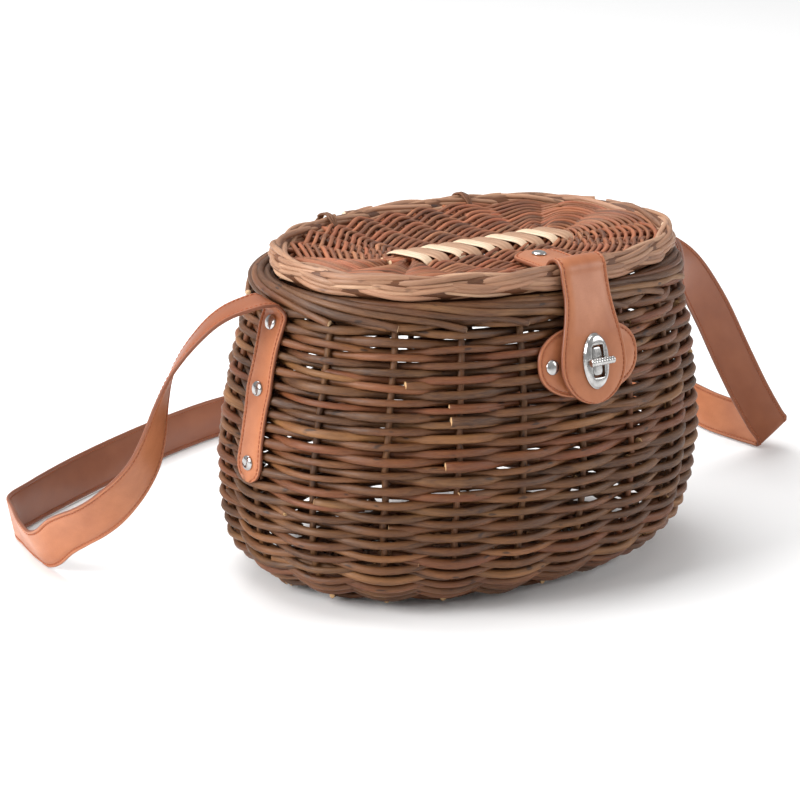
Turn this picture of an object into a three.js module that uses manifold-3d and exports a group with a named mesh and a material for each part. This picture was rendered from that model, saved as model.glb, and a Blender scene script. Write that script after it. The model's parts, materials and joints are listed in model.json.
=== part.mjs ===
// Fishing creel bag: an oval basket of brown willow with a wicker lid on two willow loops, a
// leather closing tab with a turn lock on the front, and a leather shoulder strap riveted to
// the ends and lying on the ground round the back of the basket.
// Millimetres, +Z up. X runs along the basket, the front faces -Y, and the origin is the middle
// of the underside.
import * as THREE from 'three';
import { mergeVertices } from 'three/addons/utils/BufferGeometryUtils.js';
import Module from 'manifold-3d';

const wasm = await Module();
wasm.setup();

// Clearances
const GAP = 0.35; // between pieces that rest on each other
const HOLE_GAP = 0.3; // round a rivet's shank, or a block in its slot

// Basket
const HALF_LENGTH = 180; // outside, at the widest row of the belly
const HALF_WIDTH = 128; // outside, at the widest row of the belly
const RIM_TOP = 211; // height of the rim above the ground
const OVAL_POWER = 2.15; // 2 is an ellipse, more is squarer
const WALL = 8; // weavers and stakes together
const BASE = 8; // thickness of the woven bottom
// Each row of the belly: height as a share of the wall's height, half length as a share of
// HALF_LENGTH, half width as a share of HALF_WIDTH.
const BELLY = [
  { height: 0.0, length: 0.76, width: 0.664 },
  { height: 0.042, length: 0.832, width: 0.766 },
  { height: 0.11, length: 0.925, width: 0.897 },
  { height: 0.22, length: 0.974, width: 0.967 },
  { height: 0.33, length: 0.993, width: 0.991 },
  { height: 0.466, length: 1.0, width: 1.0 },
  { height: 0.665, length: 0.979, width: 0.972 },
  { height: 0.885, length: 0.938, width: 0.92 },
  { height: 1.0, length: 0.908, width: 0.87 },
];

// Rim: a thick rolled border of brown rods
const RIM_OVER_ENDS = 0.56; // its outside beyond the top of the wall, at the ends
const RIM_OVER_FRONT = 1.14; // and at the front and back
const RIM_RADIUS = 10;

// Lid
const LID_INSIDE_ENDS = 9; // outside of the pale border within the rim's, at the ends
const LID_INSIDE_FRONT = 13.5; // and at the front and back, with the lid in the middle
const LID_FORWARD = 6; // the lid sits this far towards the front
const BORDER_HALF_WIDTH = 6.5; // of the pale border's section
const BORDER_HALF_HEIGHT = 8.4;
const PANEL_THICKNESS = 6;
const PANEL_RISE = 0.2; // top of the panel above the middle of the border
const WRAP_THICKNESS = 1.2;
const WRAP_WIDTH = 13;
const WRAP_LENGTH = 32;
const WRAP_TURN = 70; // degrees from the lid's length
const WRAP_SPACING = 28;
const WRAP_COUNT = 5;
const WRAPS_RIGHT = 1; // the middle wrap lies this far right of the lid's middle

// Hinge: two willow loops round the lid's border and the rim
const HINGE_SIDE = 60; // each loop's distance from the middle
const LOOP_WIDTH = 9;
const LOOP_THICKNESS = 1.4;
const LOOP_SLACK = 1.7; // between a loop and what it goes round

// Leather
const LEATHER = 2.6; // two layers, stitched
const STRAP_HALF_WIDTH = 15;
const STRAP_END_HALF_WIDTH = 12.5; // where it is riveted to the basket
const STRAP_END_TIP = 82; // height of the strap's rounded tip
const STRAP_END_TOP = 193.5; // height where the strap leaves the basket

// Rivets
const RIVET_RADIUS = 5;
const RIVET_DOME = 2.2;
const SHANK_RADIUS = 1.9;
const BURR_RADIUS = 3.6;
const BURR_THICKNESS = 0.8;
const BURR_GAP = 0.8; // the wall is curved behind a flat burr
const STRAP_RIVET_HEIGHTS = [187, 144, 95];

// Closing tab and turn lock
const LOCK_X = 2; // the lock and the tab's hanging end are this far right of the middle
const TAB_LEAN = 0.08; // sideways run of the tab for each millimetre above the lock
const TAB_NECK = 19.8; // half width over the lid
const TAB_HEAD = 28; // half width at the lock
const TAB_ON_LID = 46; // from the border's inner edge back to the tab's end on the lid
const TAB_RIVETS_BACK = [34, 11]; // rivets, back from the border's inner edge
const TAB_RISE_BACK = 5; // the tab starts to rise this far back from that edge
const TAB_EASE = 1; // it stands this far off the border, which curves under it
const TAB_BELOW_LOCK = 28; // from the lock's middle to the tab's round end
const LOCK_DROP = 25; // the lock's middle below the top of the wall
const PATCH_HALF_LENGTH = 43.5;
const PATCH_HALF_HEIGHT = 23.5;
const PATCH_MARGIN = 1; // the patch's top edge below the top of the wall
const PATCH_SIDE = 1.5; // the patch's middle right of the lock's
const PATCH_RIVET_SIDE = -32; // one rivet, left of the lock
const PLATE_HALF_WIDTH = 11;
const PLATE_HALF_HEIGHT = 18.5;
const PLATE_EDGE = 1;
const PLATE_DOME = 2.4;
const SLOT_HALF_WIDTH = 5.2;
const SLOT_HALF_HEIGHT = 10.6;
const LOCK_SHEET = 1.2; // the base plate under the tab
const KNOB_RADIUS = 2.6;
const KNOB_HALF_LENGTH = 10;
const KNOB_RIBS = 5;
const KNOB_STEM = 1.8;
const KNOB_RUNNING_GAP = 0.1;
const KNOB_LIFT = 0.6; // between the barrel and the dome of the plate

// Free run of the strap from the left end to the right end. x and y are the middle of the
// strap as shares of HALF_LENGTH and HALF_WIDTH, and lift is its height as a share of RIM_TOP:
// with no lift the strap touches the ground. ex, ey and ez point across the strap from its
// back edge to its front edge.
const STRAP_RUN = [
  { x: -0.936, y: 0.01, lift: 0.953, ex: -0.2, ey: -0.98, ez: 0.03 },
  { x: -0.99, y: 0.03, lift: 0.957, ex: -0.44, ey: -0.91, ez: -0.03 },
  { x: -1.12, y: 0.13, lift: 0.895, ex: -0.5, ey: -0.88, ez: 0.05 },
  { x: -1.255, y: 0.22, lift: 0.725, ex: -0.6, ey: -0.71, ez: 0.15 },
  { x: -1.34, y: 0.25, lift: 0.46, ex: -0.88, ey: -0.19, ez: 0.27 },
  { x: -1.42, y: 0.44, lift: 0.278, ex: -0.78, ey: 0.26, ez: 0.55 },
  { x: -1.455, y: 0.775, lift: 0.142, ex: -0.51, ey: 0.36, ez: 0.78 },
  { x: -1.435, y: 1.08, lift: 0, ex: -0.39, ey: 0.28, ez: 0.89 },
  { x: -1.38, y: 1.325, lift: 0, ex: -0.26, ey: 0.16, ez: 0.96 },
  { x: -1.33, y: 1.485, lift: 0, ex: -0.16, ey: 0.13, ez: 0.98 },
  { x: -1.19, y: 1.605, lift: 0, ex: -0.1, ey: 0.15, ez: 0.98 },
  { x: -1.0, y: 1.745, lift: 0, ex: -0.13, ey: 0.26, ez: 0.95 },
  { x: -0.78, y: 1.895, lift: 0, ex: -0.16, ey: 0.37, ez: 0.92 },
  { x: -0.525, y: 2.045, lift: 0, ex: -0.12, ey: 0.29, ez: 0.95 },
  { x: -0.25, y: 2.19, lift: 0, ex: -0.06, ey: 0.15, ez: 0.99 },
  { x: 0.04, y: 2.31, lift: 0, ex: -0.03, ey: 0.09, ez: 1 },
  { x: 0.32, y: 2.37, lift: 0, ex: 0, ey: -0.14, ez: 0.99 },
  { x: 0.585, y: 2.31, lift: 0, ex: -0.07, ey: -0.52, ez: 0.82 },
  { x: 0.845, y: 2.19, lift: 0, ex: -0.24, ey: -0.84, ez: 0.46 },
  { x: 1.11, y: 2.05, lift: 0, ex: -0.35, ey: -0.92, ez: -0.04 },
  { x: 1.39, y: 1.89, lift: 0, ex: -0.22, ey: -0.73, ez: -0.56 },
  { x: 1.66, y: 1.74, lift: 0, ex: -0.08, ey: -0.33, ez: -0.91 },
  { x: 1.89, y: 1.56, lift: 0, ex: 0.03, ey: -0.02, ez: -1 },
  { x: 1.995, y: 1.25, lift: 0, ex: -0.02, ey: 0, ez: -1 },
  { x: 1.95, y: 0.86, lift: 0, ex: -0.27, ey: 0.05, ez: -0.95 },
  { x: 1.955, y: 0.625, lift: 0, ex: -0.4, ey: 0.1, ez: -0.91 },
  { x: 1.98, y: 0.4, lift: 0, ex: -0.58, ey: 0.25, ez: -0.77 },
  { x: 1.983, y: 0.365, lift: 0.07, ex: -0.63, ey: 0.36, ez: -0.68 },
  { x: 1.955, y: 0.38, lift: 0.104, ex: -0.69, ey: 0.5, ez: -0.52 },
  { x: 1.83, y: 0.37, lift: 0.237, ex: -0.7, ey: 0.53, ez: -0.5 },
  { x: 1.67, y: 0.33, lift: 0.41, ex: -0.74, ey: 0.46, ez: -0.53 },
  { x: 1.505, y: 0.27, lift: 0.582, ex: -0.75, ey: 0.32, ez: -0.61 },
  { x: 1.325, y: 0.2, lift: 0.743, ex: -0.61, ey: -0.02, ez: -0.66 },
  { x: 1.14, y: 0.1, lift: 0.88, ex: -0.12, ey: -0.69, ez: -0.47 },
  { x: 1.02, y: 0.04, lift: 0.947, ex: 0.2, ey: -0.95, ez: -0.1 },
  { x: 0.945, y: 0.01, lift: 0.95, ex: 0.18, ey: -0.98, ez: 0.02 },
];

// Resolution of the curved surfaces
const OVAL_STEPS = 60;
const SECTION_STEPS = 12;
const ROUND_STEPS = 10;
const BELLY_STEPS = 11;
const RUN_STEPS = 3; // per row of the strap's free run
const OUTLINE_STEPS = 28; // round the patch
const PLATE_STEPS = 24; // round the lock's plates

const UP = new THREE.Vector3(0, 0, 1);
const ALONG = new THREE.Vector3(1, 0, 0);
const topRow = BELLY[BELLY.length - 1];
const rimHalfLength = topRow.length * HALF_LENGTH + RIM_OVER_ENDS;
const rimHalfWidth = topRow.width * HALF_WIDTH + RIM_OVER_FRONT;
const rimLength = rimHalfLength - RIM_RADIUS;
const rimWidth = rimHalfWidth - RIM_RADIUS;
const rimHeight = RIM_TOP - RIM_RADIUS;
const wallTop = RIM_TOP - 2 * RIM_RADIUS - GAP;
const lockHeight = wallTop - LOCK_DROP;
const borderLength = rimHalfLength - LID_INSIDE_ENDS - BORDER_HALF_WIDTH;
const borderWidth = rimHalfWidth - LID_INSIDE_FRONT - BORDER_HALF_WIDTH;
// The border rests on the rim at the front, where one round section lies nearly over the other.
const borderOffset = rimWidth - borderWidth - LID_FORWARD;
const borderInner = borderWidth - BORDER_HALF_WIDTH + LID_FORWARD; // its front, from the middle line
const borderReach = RIM_RADIUS + BORDER_HALF_HEIGHT + GAP;
const lidHeight = rimHeight + Math.sqrt(borderReach ** 2 - borderOffset ** 2);
const panelTop = lidHeight + PANEL_RISE;

const willow = { color: 0x7d5c40, roughness: 0.62, metalness: 0 };
const rimWillow = { color: 0x86684a, roughness: 0.6, metalness: 0 };
const lidWillow = { color: 0x8a5a40, roughness: 0.6, metalness: 0 };
const peeledWillow = { color: 0xd9b893, roughness: 0.55, metalness: 0 };
const splitWillow = { color: 0xecd9c0, roughness: 0.6, metalness: 0 };
const leather = { color: 0xb67a58, roughness: 0.5, metalness: 0 };
const chrome = { color: 0xd6d6d8, roughness: 0.16, metalness: 1 };

// Point of an oval at angle u, moved out along its normal.
function ovalPoint(length, width, u, out = 0) {
  const power = 2 / OVAL_POWER;
  const cos = Math.cos(u);
  const sin = Math.sin(u);
  const x = length * Math.sign(cos) * Math.abs(cos) ** power;
  const y = width * Math.sign(sin) * Math.abs(sin) ** power;
  const slopeX = (Math.sign(x) * Math.abs(x / length) ** (OVAL_POWER - 1)) / length;
  const slopeY = (Math.sign(y) * Math.abs(y / width) ** (OVAL_POWER - 1)) / width;
  const size = Math.hypot(slopeX, slopeY);
  return new THREE.Vector3(x + (out * slopeX) / size, y + (out * slopeY) / size, 0);
}

function ovalRing(length, width, height, out = 0, forward = 0) {
  return Array.from({ length: OVAL_STEPS }, (_, i) => {
    const point = ovalPoint(length, width, (2 * Math.PI * i) / OVAL_STEPS, out);
    return point.add(new THREE.Vector3(0, -forward, height));
  });
}

// Half width of an oval at distance x from its middle.
function ovalWidthAt(length, width, x) {
  return width * (1 - Math.abs(x / length) ** OVAL_POWER) ** (1 / OVAL_POWER);
}

// Joins equal rings of points into one closed skin, capped at both ends or run into a loop.
function loft(rings, loop = false) {
  const count = rings[0].length;
  const points = rings.flat();
  const faces = [];
  const spans = loop ? rings.length : rings.length - 1;
  for (let i = 0; i < spans; i += 1) {
    const next = (i + 1) % rings.length;
    for (let j = 0; j < count; j += 1) {
      const k = (j + 1) % count;
      faces.push(i * count + j, i * count + k, next * count + k);
      faces.push(i * count + j, next * count + k, next * count + j);
    }
  }
  if (!loop) {
    [0, rings.length - 1].forEach((end) => {
      const middle = new THREE.Vector3();
      rings[end].forEach((point) => middle.addScaledVector(point, 1 / count));
      points.push(middle);
      for (let j = 0; j < count; j += 1) {
        const pair = [end * count + j, end * count + ((j + 1) % count)];
        faces.push(points.length - 1, ...(end === 0 ? pair.reverse() : pair));
      }
    });
  }
  const geometry = new THREE.BufferGeometry().setFromPoints(points);
  geometry.setIndex(outward(points, faces));
  return geometry;
}

// Turns every face over if the skin's volume comes out negative.
function outward(points, faces) {
  let volume = 0;
  for (let i = 0; i < faces.length; i += 3) {
    const [a, b, c] = [points[faces[i]], points[faces[i + 1]], points[faces[i + 2]]];
    volume += a.dot(b.clone().cross(c));
  }
  return volume < 0 ? faces.reverse() : faces;
}

function toSolid(geometry) {
  const bare = geometry.clone();
  bare.deleteAttribute('normal');
  bare.deleteAttribute('uv');
  const merged = mergeVertices(bare, 1e-4);
  const vertProperties = new Float32Array(merged.attributes.position.array);
  const triVerts = new Uint32Array(merged.index.array);
  return new wasm.Manifold(new wasm.Mesh({ numProp: 3, vertProperties, triVerts }));
}

function fromSolid(solid) {
  const mesh = solid.getMesh();
  const geometry = new THREE.BufferGeometry();
  geometry.setAttribute('position', new THREE.BufferAttribute(mesh.vertProperties, 3));
  geometry.setIndex(new THREE.BufferAttribute(mesh.triVerts, 1));
  return geometry;
}

function cut(geometry, tools) {
  return fromSolid(tools.reduce((body, tool) => body.subtract(toSolid(tool)), toSolid(geometry)));
}

function fuse(geometry, others) {
  return fromSolid(others.reduce((body, other) => body.add(toSolid(other)), toSolid(geometry)));
}

function piece(name, geometry, finish) {
  const mesh = new THREE.Mesh(geometry, new THREE.MeshStandardMaterial(finish));
  mesh.name = name;
  geometry.computeVertexNormals();
  return mesh;
}

// Sheet of leather along stations, each with a middle point, a direction across and a half
// width. The section is a flat rectangle.
function ribbon(stations, thickness) {
  const rings = stations.map((station, i) => {
    const before = stations[Math.max(i - 1, 0)].middle;
    const after = stations[Math.min(i + 1, stations.length - 1)].middle;
    const along = after.clone().sub(before);
    const normal = station.across.clone().cross(along).normalize();
    const side = station.across.clone().multiplyScalar(station.half);
    const lift = normal.multiplyScalar(thickness / 2);
    const corner = (s, t) =>
      station.middle.clone().addScaledVector(side, s).addScaledVector(lift, t);
    return [corner(-1, -1), corner(1, -1), corner(1, 1), corner(-1, 1)];
  });
  return loft(rings);
}

// Half width of a strap end whose corners are rounded over the given length.
function roundedHalf(distance, half, length = half) {
  const left = 1 - Math.min(distance / length, 1);
  return half * Math.sqrt(Math.max(1 - left ** 2, 0));
}

// Belly profile: half length and half width of the outside at any height
const bellyCurve = new THREE.CatmullRomCurve3(
  BELLY.map((row) => new THREE.Vector3(
    row.length * HALF_LENGTH, row.width * HALF_WIDTH, row.height * wallTop)),
);
const bellyRows = bellyCurve.getPoints(96);

function bellyAt(height) {
  const inside = THREE.MathUtils.clamp(height, 0.01, wallTop - 0.01);
  const above = bellyRows.findIndex((row) => row.z >= inside);
  const top = bellyRows[above];
  const low = bellyRows[above - 1];
  return low.clone().lerp(top, (inside - low.z) / (top.z - low.z));
}

// Point and outward normal of the basket's end (side -1 left, 1 right) at a height. Above the
// wall the line runs straight on.
function endPoint(height, side) {
  const on = Math.min(height, wallTop - 1);
  const slope = (bellyAt(on + 0.9).x - bellyAt(on - 0.9).x) / 1.8;
  const x = bellyAt(on).x + slope * (height - on);
  const normal = new THREE.Vector3(side, 0, -slope).normalize();
  return { point: new THREE.Vector3(side * x, 0, height), normal };
}

// Point of the basket's front at distance x from the middle and at a height, and its normal.
function frontPoint(x, height) {
  const widthAt = (dx, dz) => {
    const row = bellyAt(height + dz);
    return ovalWidthAt(row.x, row.y, x + dx);
  };
  const slopeX = (widthAt(1, 0) - widthAt(-1, 0)) / 2;
  const slopeZ = (widthAt(0, 1) - widthAt(0, -1)) / 2;
  const normal = new THREE.Vector3(-slopeX, -1, -slopeZ).normalize();
  return { point: new THREE.Vector3(x, -widthAt(0, 0), height), normal };
}

// Rivet with a domed head, a shank and a flat burr inside. Its local +Z points out of the
// surface it is set in: the leather lies over that surface, and the burr is under the wall.
function rivetGeometry(leatherTop, wall) {
  const seat = leatherTop + GAP;
  const burr = -wall - BURR_GAP;
  const profile = [
    [0, burr - BURR_THICKNESS],
    [BURR_RADIUS, burr - BURR_THICKNESS],
    [BURR_RADIUS, burr],
    [SHANK_RADIUS, burr],
    [SHANK_RADIUS, seat],
    [RIVET_RADIUS, seat],
    [RIVET_RADIUS, seat + RIVET_DOME * 0.2],
    [RIVET_RADIUS * 0.7, seat + RIVET_DOME * 0.8],
    [0, seat + RIVET_DOME],
  ];
  const lathe = new THREE.LatheGeometry(profile.map(([r, z]) => new THREE.Vector2(r, z)), ROUND_STEPS);
  return lathe.rotateX(Math.PI / 2);
}

// Matrix that stands local +Z on a normal at a point.
function standOn(point, normal) {
  const turn = new THREE.Quaternion().setFromUnitVectors(UP, normal);
  return new THREE.Matrix4().compose(point, turn, new THREE.Vector3(1, 1, 1));
}

// Round hole through everything from below to above a surface point.
function rivetHole(frame, wall) {
  const length = 2 * (wall + 4 * LEATHER);
  const hole = new THREE.CylinderGeometry(
    SHANK_RADIUS + HOLE_GAP, SHANK_RADIUS + HOLE_GAP, length, ROUND_STEPS);
  return hole.rotateX(Math.PI / 2).applyMatrix4(frame);
}

const creel = new THREE.Group();
const strapHoles = [];
const basketCuts = [];
const tabCuts = [];
const patchCuts = [];
const panelCuts = [];

// Rivets that hold the strap to both ends
['left', 'right'].forEach((name) => {
  const side = name === 'left' ? -1 : 1;
  STRAP_RIVET_HEIGHTS.forEach((height, i) => {
    const { point, normal } = endPoint(height, side);
    const frame = standOn(point, normal);
    const rivet = piece(`strap_rivet_${name}_${i + 1}`, rivetGeometry(LEATHER + GAP, WALL), chrome);
    rivet.applyMatrix4(frame);
    creel.add(rivet);
    strapHoles.push(rivetHole(frame, WALL));
    basketCuts.push(rivetHole(frame, WALL));
  });
});

// Shoulder strap: one band from the left end, over and round on the ground to the right end
function strapEnd(side) {
  const steps = [0.02, 0.12, 0.35, 1];
  const tip = steps.map((share) => STRAP_END_TIP + share * STRAP_END_HALF_WIDTH);
  const rest = Array.from({ length: 14 }, (_, i) =>
    THREE.MathUtils.lerp(tip[3], STRAP_END_TOP, (i + 1) / 14));
  return [...tip, ...rest].map((height) => {
    const { point, normal } = endPoint(height, side);
    return {
      middle: point.addScaledVector(normal, GAP + LEATHER / 2),
      across: new THREE.Vector3(0, -1, 0),
      half: roundedHalf(height - STRAP_END_TIP, STRAP_END_HALF_WIDTH),
    };
  });
}

function strapRun() {
  const middles = new THREE.CatmullRomCurve3(STRAP_RUN.map((row) =>
    new THREE.Vector3(row.x * HALF_LENGTH, row.y * HALF_WIDTH, row.lift * RIM_TOP)), false, 'catmullrom');
  const acrosses = new THREE.CatmullRomCurve3(STRAP_RUN.map((row) =>
    new THREE.Vector3(row.ex, row.ey, row.ez)), false, 'catmullrom');
  const count = (STRAP_RUN.length - 1) * RUN_STEPS;
  return Array.from({ length: count + 1 }, (_, i) => {
    const middle = middles.getPoint(i / count);
    const across = acrosses.getPoint(i / count).normalize();
    // A strap on the ground stands as high as its own lean leaves it.
    const flat = Math.sqrt(Math.max(1 - across.z ** 2, 0));
    const onGround = Math.abs(across.z) * STRAP_HALF_WIDTH + (flat * LEATHER) / 2;
    middle.z = Math.max(middle.z, onGround);
    const fromEnd = Math.min(i, count - i) / RUN_STEPS;
    const half = THREE.MathUtils.lerp(
      STRAP_END_HALF_WIDTH, STRAP_HALF_WIDTH, THREE.MathUtils.smoothstep(fromEnd, -1, 2));
    return { middle, across, half };
  });
}

const strapStations = [...strapEnd(-1), ...strapRun(), ...strapEnd(1).reverse()];
creel.add(piece('shoulder_strap', cut(ribbon(strapStations, LEATHER), strapHoles), leather));

// Lid: woven panel inside a round braided border
function borderRings() {
  return Array.from({ length: OVAL_STEPS }, (_, i) => {
    const u = (2 * Math.PI * i) / OVAL_STEPS;
    return Array.from({ length: SECTION_STEPS }, (__, j) => {
      const v = (2 * Math.PI * j) / SECTION_STEPS;
      const point = ovalPoint(borderLength, borderWidth, u, BORDER_HALF_WIDTH * Math.cos(v));
      point.y -= LID_FORWARD;
      point.z = lidHeight + BORDER_HALF_HEIGHT * Math.sin(v);
      return point;
    });
  });
}
creel.add(piece('lid_border', loft(borderRings(), true), peeledWillow));

// The hinge line runs through the middle of the border at both loops.
const hingeY = ovalWidthAt(borderLength, borderWidth, HINGE_SIDE) - LID_FORWARD;
const loopInside = BORDER_HALF_HEIGHT + LOOP_SLACK;

// Willow loop: a belt round the lid's border and the rim, seen along X
function loopOutline(out) {
  const lid = { y: hingeY, z: lidHeight, radius: loopInside + out };
  const rim = {
    y: ovalWidthAt(rimLength, rimWidth, HINGE_SIDE), z: rimHeight,
    radius: RIM_RADIUS + LOOP_SLACK + out,
  };
  const distance = Math.hypot(rim.y - lid.y, rim.z - lid.z);
  const heading = Math.atan2(rim.z - lid.z, rim.y - lid.y);
  const spread = Math.acos((lid.radius - rim.radius) / distance);
  const arc = (circle, from, to) => Array.from({ length: 11 }, (_, i) => {
    const angle = THREE.MathUtils.lerp(from, to, i / 10);
    return new THREE.Vector2(
      circle.y + circle.radius * Math.cos(angle), circle.z + circle.radius * Math.sin(angle));
  });
  return [
    ...arc(lid, heading + spread, heading + 2 * Math.PI - spread),
    ...arc(rim, heading - spread, heading + spread),
  ];
}

['left', 'right'].forEach((name) => {
  const x = name === 'left' ? -HINGE_SIDE : HINGE_SIDE;
  const ring = new THREE.Shape(loopOutline(LOOP_THICKNESS));
  ring.holes.push(new THREE.Path(loopOutline(0)));
  const belt = new THREE.ExtrudeGeometry(ring, { depth: LOOP_WIDTH, bevelEnabled: false });
  // The outline's two axes are turned to Y and Z, and the belt is centred on x.
  const turn = new THREE.Matrix4().set(
    0, 0, 1, x - LOOP_WIDTH / 2,
    1, 0, 0, 0,
    0, 1, 0, 0,
    0, 0, 0, 1,
  );
  creel.add(piece(`hinge_loop_${name}`, belt.applyMatrix4(turn), peeledWillow));
  // Ways through the top of the wall and the edge of the panel
  const slot = LOOP_WIDTH + 2 * GAP;
  const under = rimHeight - RIM_RADIUS - LOOP_SLACK - LOOP_THICKNESS - GAP;
  const wallSlot = new THREE.BoxGeometry(slot, HALF_WIDTH, 2 * (wallTop - under));
  basketCuts.push(wallSlot.translate(x, HALF_WIDTH, wallTop));
  const reach = loopInside + LOOP_THICKNESS + GAP;
  const panelSlot = new THREE.BoxGeometry(slot, 2 * reach, 4 * PANEL_THICKNESS);
  panelCuts.push(panelSlot.translate(x, hingeY, lidHeight));
});

const panelInset = -BORDER_HALF_WIDTH - GAP;
const panelRings = [
  ovalRing(borderLength, borderWidth, panelTop - PANEL_THICKNESS, panelInset - 1, LID_FORWARD),
  ovalRing(borderLength, borderWidth, panelTop - PANEL_THICKNESS + 1, panelInset, LID_FORWARD),
  ovalRing(borderLength, borderWidth, panelTop - 1, panelInset, LID_FORWARD),
  ovalRing(borderLength, borderWidth, panelTop, panelInset - 1, LID_FORWARD),
];

// Flat strips of split white willow that bind the lid's cross sticks along its middle
for (let i = 0; i < WRAP_COUNT; i += 1) {
  const strip = new THREE.BoxGeometry(WRAP_LENGTH, WRAP_WIDTH, WRAP_THICKNESS);
  const wrap = piece(`lid_wrap_${i + 1}`, strip, splitWillow);
  wrap.position.set(
    (i - (WRAP_COUNT - 1) / 2) * WRAP_SPACING + WRAPS_RIGHT,
    -LID_FORWARD,
    panelTop + GAP + WRAP_THICKNESS / 2,
  );
  wrap.rotation.z = THREE.MathUtils.degToRad(-WRAP_TURN);
  creel.add(wrap);
}

// Basket: outside from the ground up, over the top of the wall and down the inside
function bellyRings() {
  const outside = bellyCurve.getPoints(BELLY_STEPS);
  const rings = outside.map((row) => ovalRing(row.x, row.y, row.z));
  const inside = outside.filter((row) => row.z > BASE + 1).reverse();
  inside.forEach((row) => rings.push(ovalRing(row.x, row.y, row.z, -WALL)));
  const floor = bellyAt(BASE);
  rings.push(ovalRing(floor.x, floor.y, BASE, -WALL));
  return rings;
}

// Rim: a round roll of rods on the top of the wall
function rimRings() {
  return Array.from({ length: OVAL_STEPS }, (_, i) => {
    const u = (2 * Math.PI * i) / OVAL_STEPS;
    return Array.from({ length: SECTION_STEPS }, (__, j) => {
      const v = (2 * Math.PI * j) / SECTION_STEPS;
      const point = ovalPoint(rimLength, rimWidth, u, RIM_RADIUS * Math.cos(v));
      point.z = rimHeight + RIM_RADIUS * Math.sin(v);
      return point;
    });
  });
}
creel.add(piece('basket_rim', loft(rimRings(), true), rimWillow));

// Turn lock. Its frame lies on the basket's front: local +Z points out, local +Y up the wall.
const lockSeat = frontPoint(LOCK_X, lockHeight);
lockSeat.normal.setX(0).normalize();
const lockFrame = new THREE.Matrix4().makeBasis(
  ALONG, lockSeat.normal.clone().cross(ALONG), lockSeat.normal);
lockFrame.setPosition(lockSeat.point);
const patchTop = GAP + LEATHER;
const sheetBottom = patchTop + GAP;
const tabBottom = sheetBottom + LOCK_SHEET + GAP;
const plateBottom = tabBottom + LEATHER + GAP;
const plateTop = plateBottom + PLATE_EDGE + PLATE_DOME;
const knobHeight = plateTop + KNOB_LIFT + KNOB_RADIUS;

// Leather patch that follows the basket's front under the lock
function patchSide(share, depth) {
  return Array.from({ length: OUTLINE_STEPS }, (_, i) => {
    const u = (2 * Math.PI * i) / OUTLINE_STEPS;
    const outline = new THREE.Vector2(
      PATCH_HALF_LENGTH * Math.sign(Math.cos(u)) * Math.abs(Math.cos(u)) ** 0.85,
      PATCH_HALF_HEIGHT * Math.sign(Math.sin(u)) * Math.abs(Math.sin(u)) ** 0.85,
    ).multiplyScalar(share);
    const middle = wallTop - PATCH_MARGIN - PATCH_HALF_HEIGHT;
    const { point, normal } = frontPoint(LOCK_X + PATCH_SIDE + outline.x, middle + outline.y);
    return point.addScaledVector(normal, depth);
  });
}

const patchRings = [
  patchSide(0.3, GAP), patchSide(0.7, GAP), patchSide(1, GAP),
  patchSide(1, patchTop), patchSide(0.7, patchTop), patchSide(0.3, patchTop),
];
const patchRivetSeat = frontPoint(LOCK_X + PATCH_RIVET_SIDE, lockHeight);
const patchRivetFrame = standOn(patchRivetSeat.point, patchRivetSeat.normal);
const patchRivet = piece('patch_rivet', rivetGeometry(patchTop, WALL), chrome);
patchRivet.applyMatrix4(patchRivetFrame);
creel.add(patchRivet);
basketCuts.push(rivetHole(patchRivetFrame, WALL));
patchCuts.push(rivetHole(patchRivetFrame, WALL));
creel.add(piece('clasp_patch', cut(loft(patchRings), patchCuts), leather));
creel.add(piece('basket_body', cut(loft(bellyRings()), basketCuts), willow));

// Oval outline, or a rounded slot, at an angle
function ellipseAt(u, halfWidth, halfHeight, squareness = 1) {
  const cos = Math.cos(u);
  const sin = Math.sin(u);
  return [
    halfWidth * Math.sign(cos) * Math.abs(cos) ** squareness,
    halfHeight * Math.sign(sin) * Math.abs(sin) ** squareness,
  ];
}

// Domed oval plate with a slot, made as rings from its edge to the slot and back underneath
function plateGeometry() {
  const rows = [
    { share: 1, height: plateBottom },
    { share: 1, height: plateBottom + PLATE_EDGE },
    { share: 0.72, height: plateBottom + PLATE_EDGE + 0.7 * PLATE_DOME },
    { share: 0.3, height: plateTop },
    { share: 0, height: plateTop },
    { share: 0, height: plateBottom },
  ];
  return loft(rows.map((row) => Array.from({ length: PLATE_STEPS }, (_, i) => {
    const u = (2 * Math.PI * i) / PLATE_STEPS;
    const [slotX, slotY] = ellipseAt(u, SLOT_HALF_WIDTH, SLOT_HALF_HEIGHT, 0.25);
    const [edgeX, edgeY] = ellipseAt(u, PLATE_HALF_WIDTH, PLATE_HALF_HEIGHT);
    return new THREE.Vector3(
      THREE.MathUtils.lerp(slotX, edgeX, row.share),
      THREE.MathUtils.lerp(slotY, edgeY, row.share),
      row.height,
    );
  })), true);
}

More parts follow.
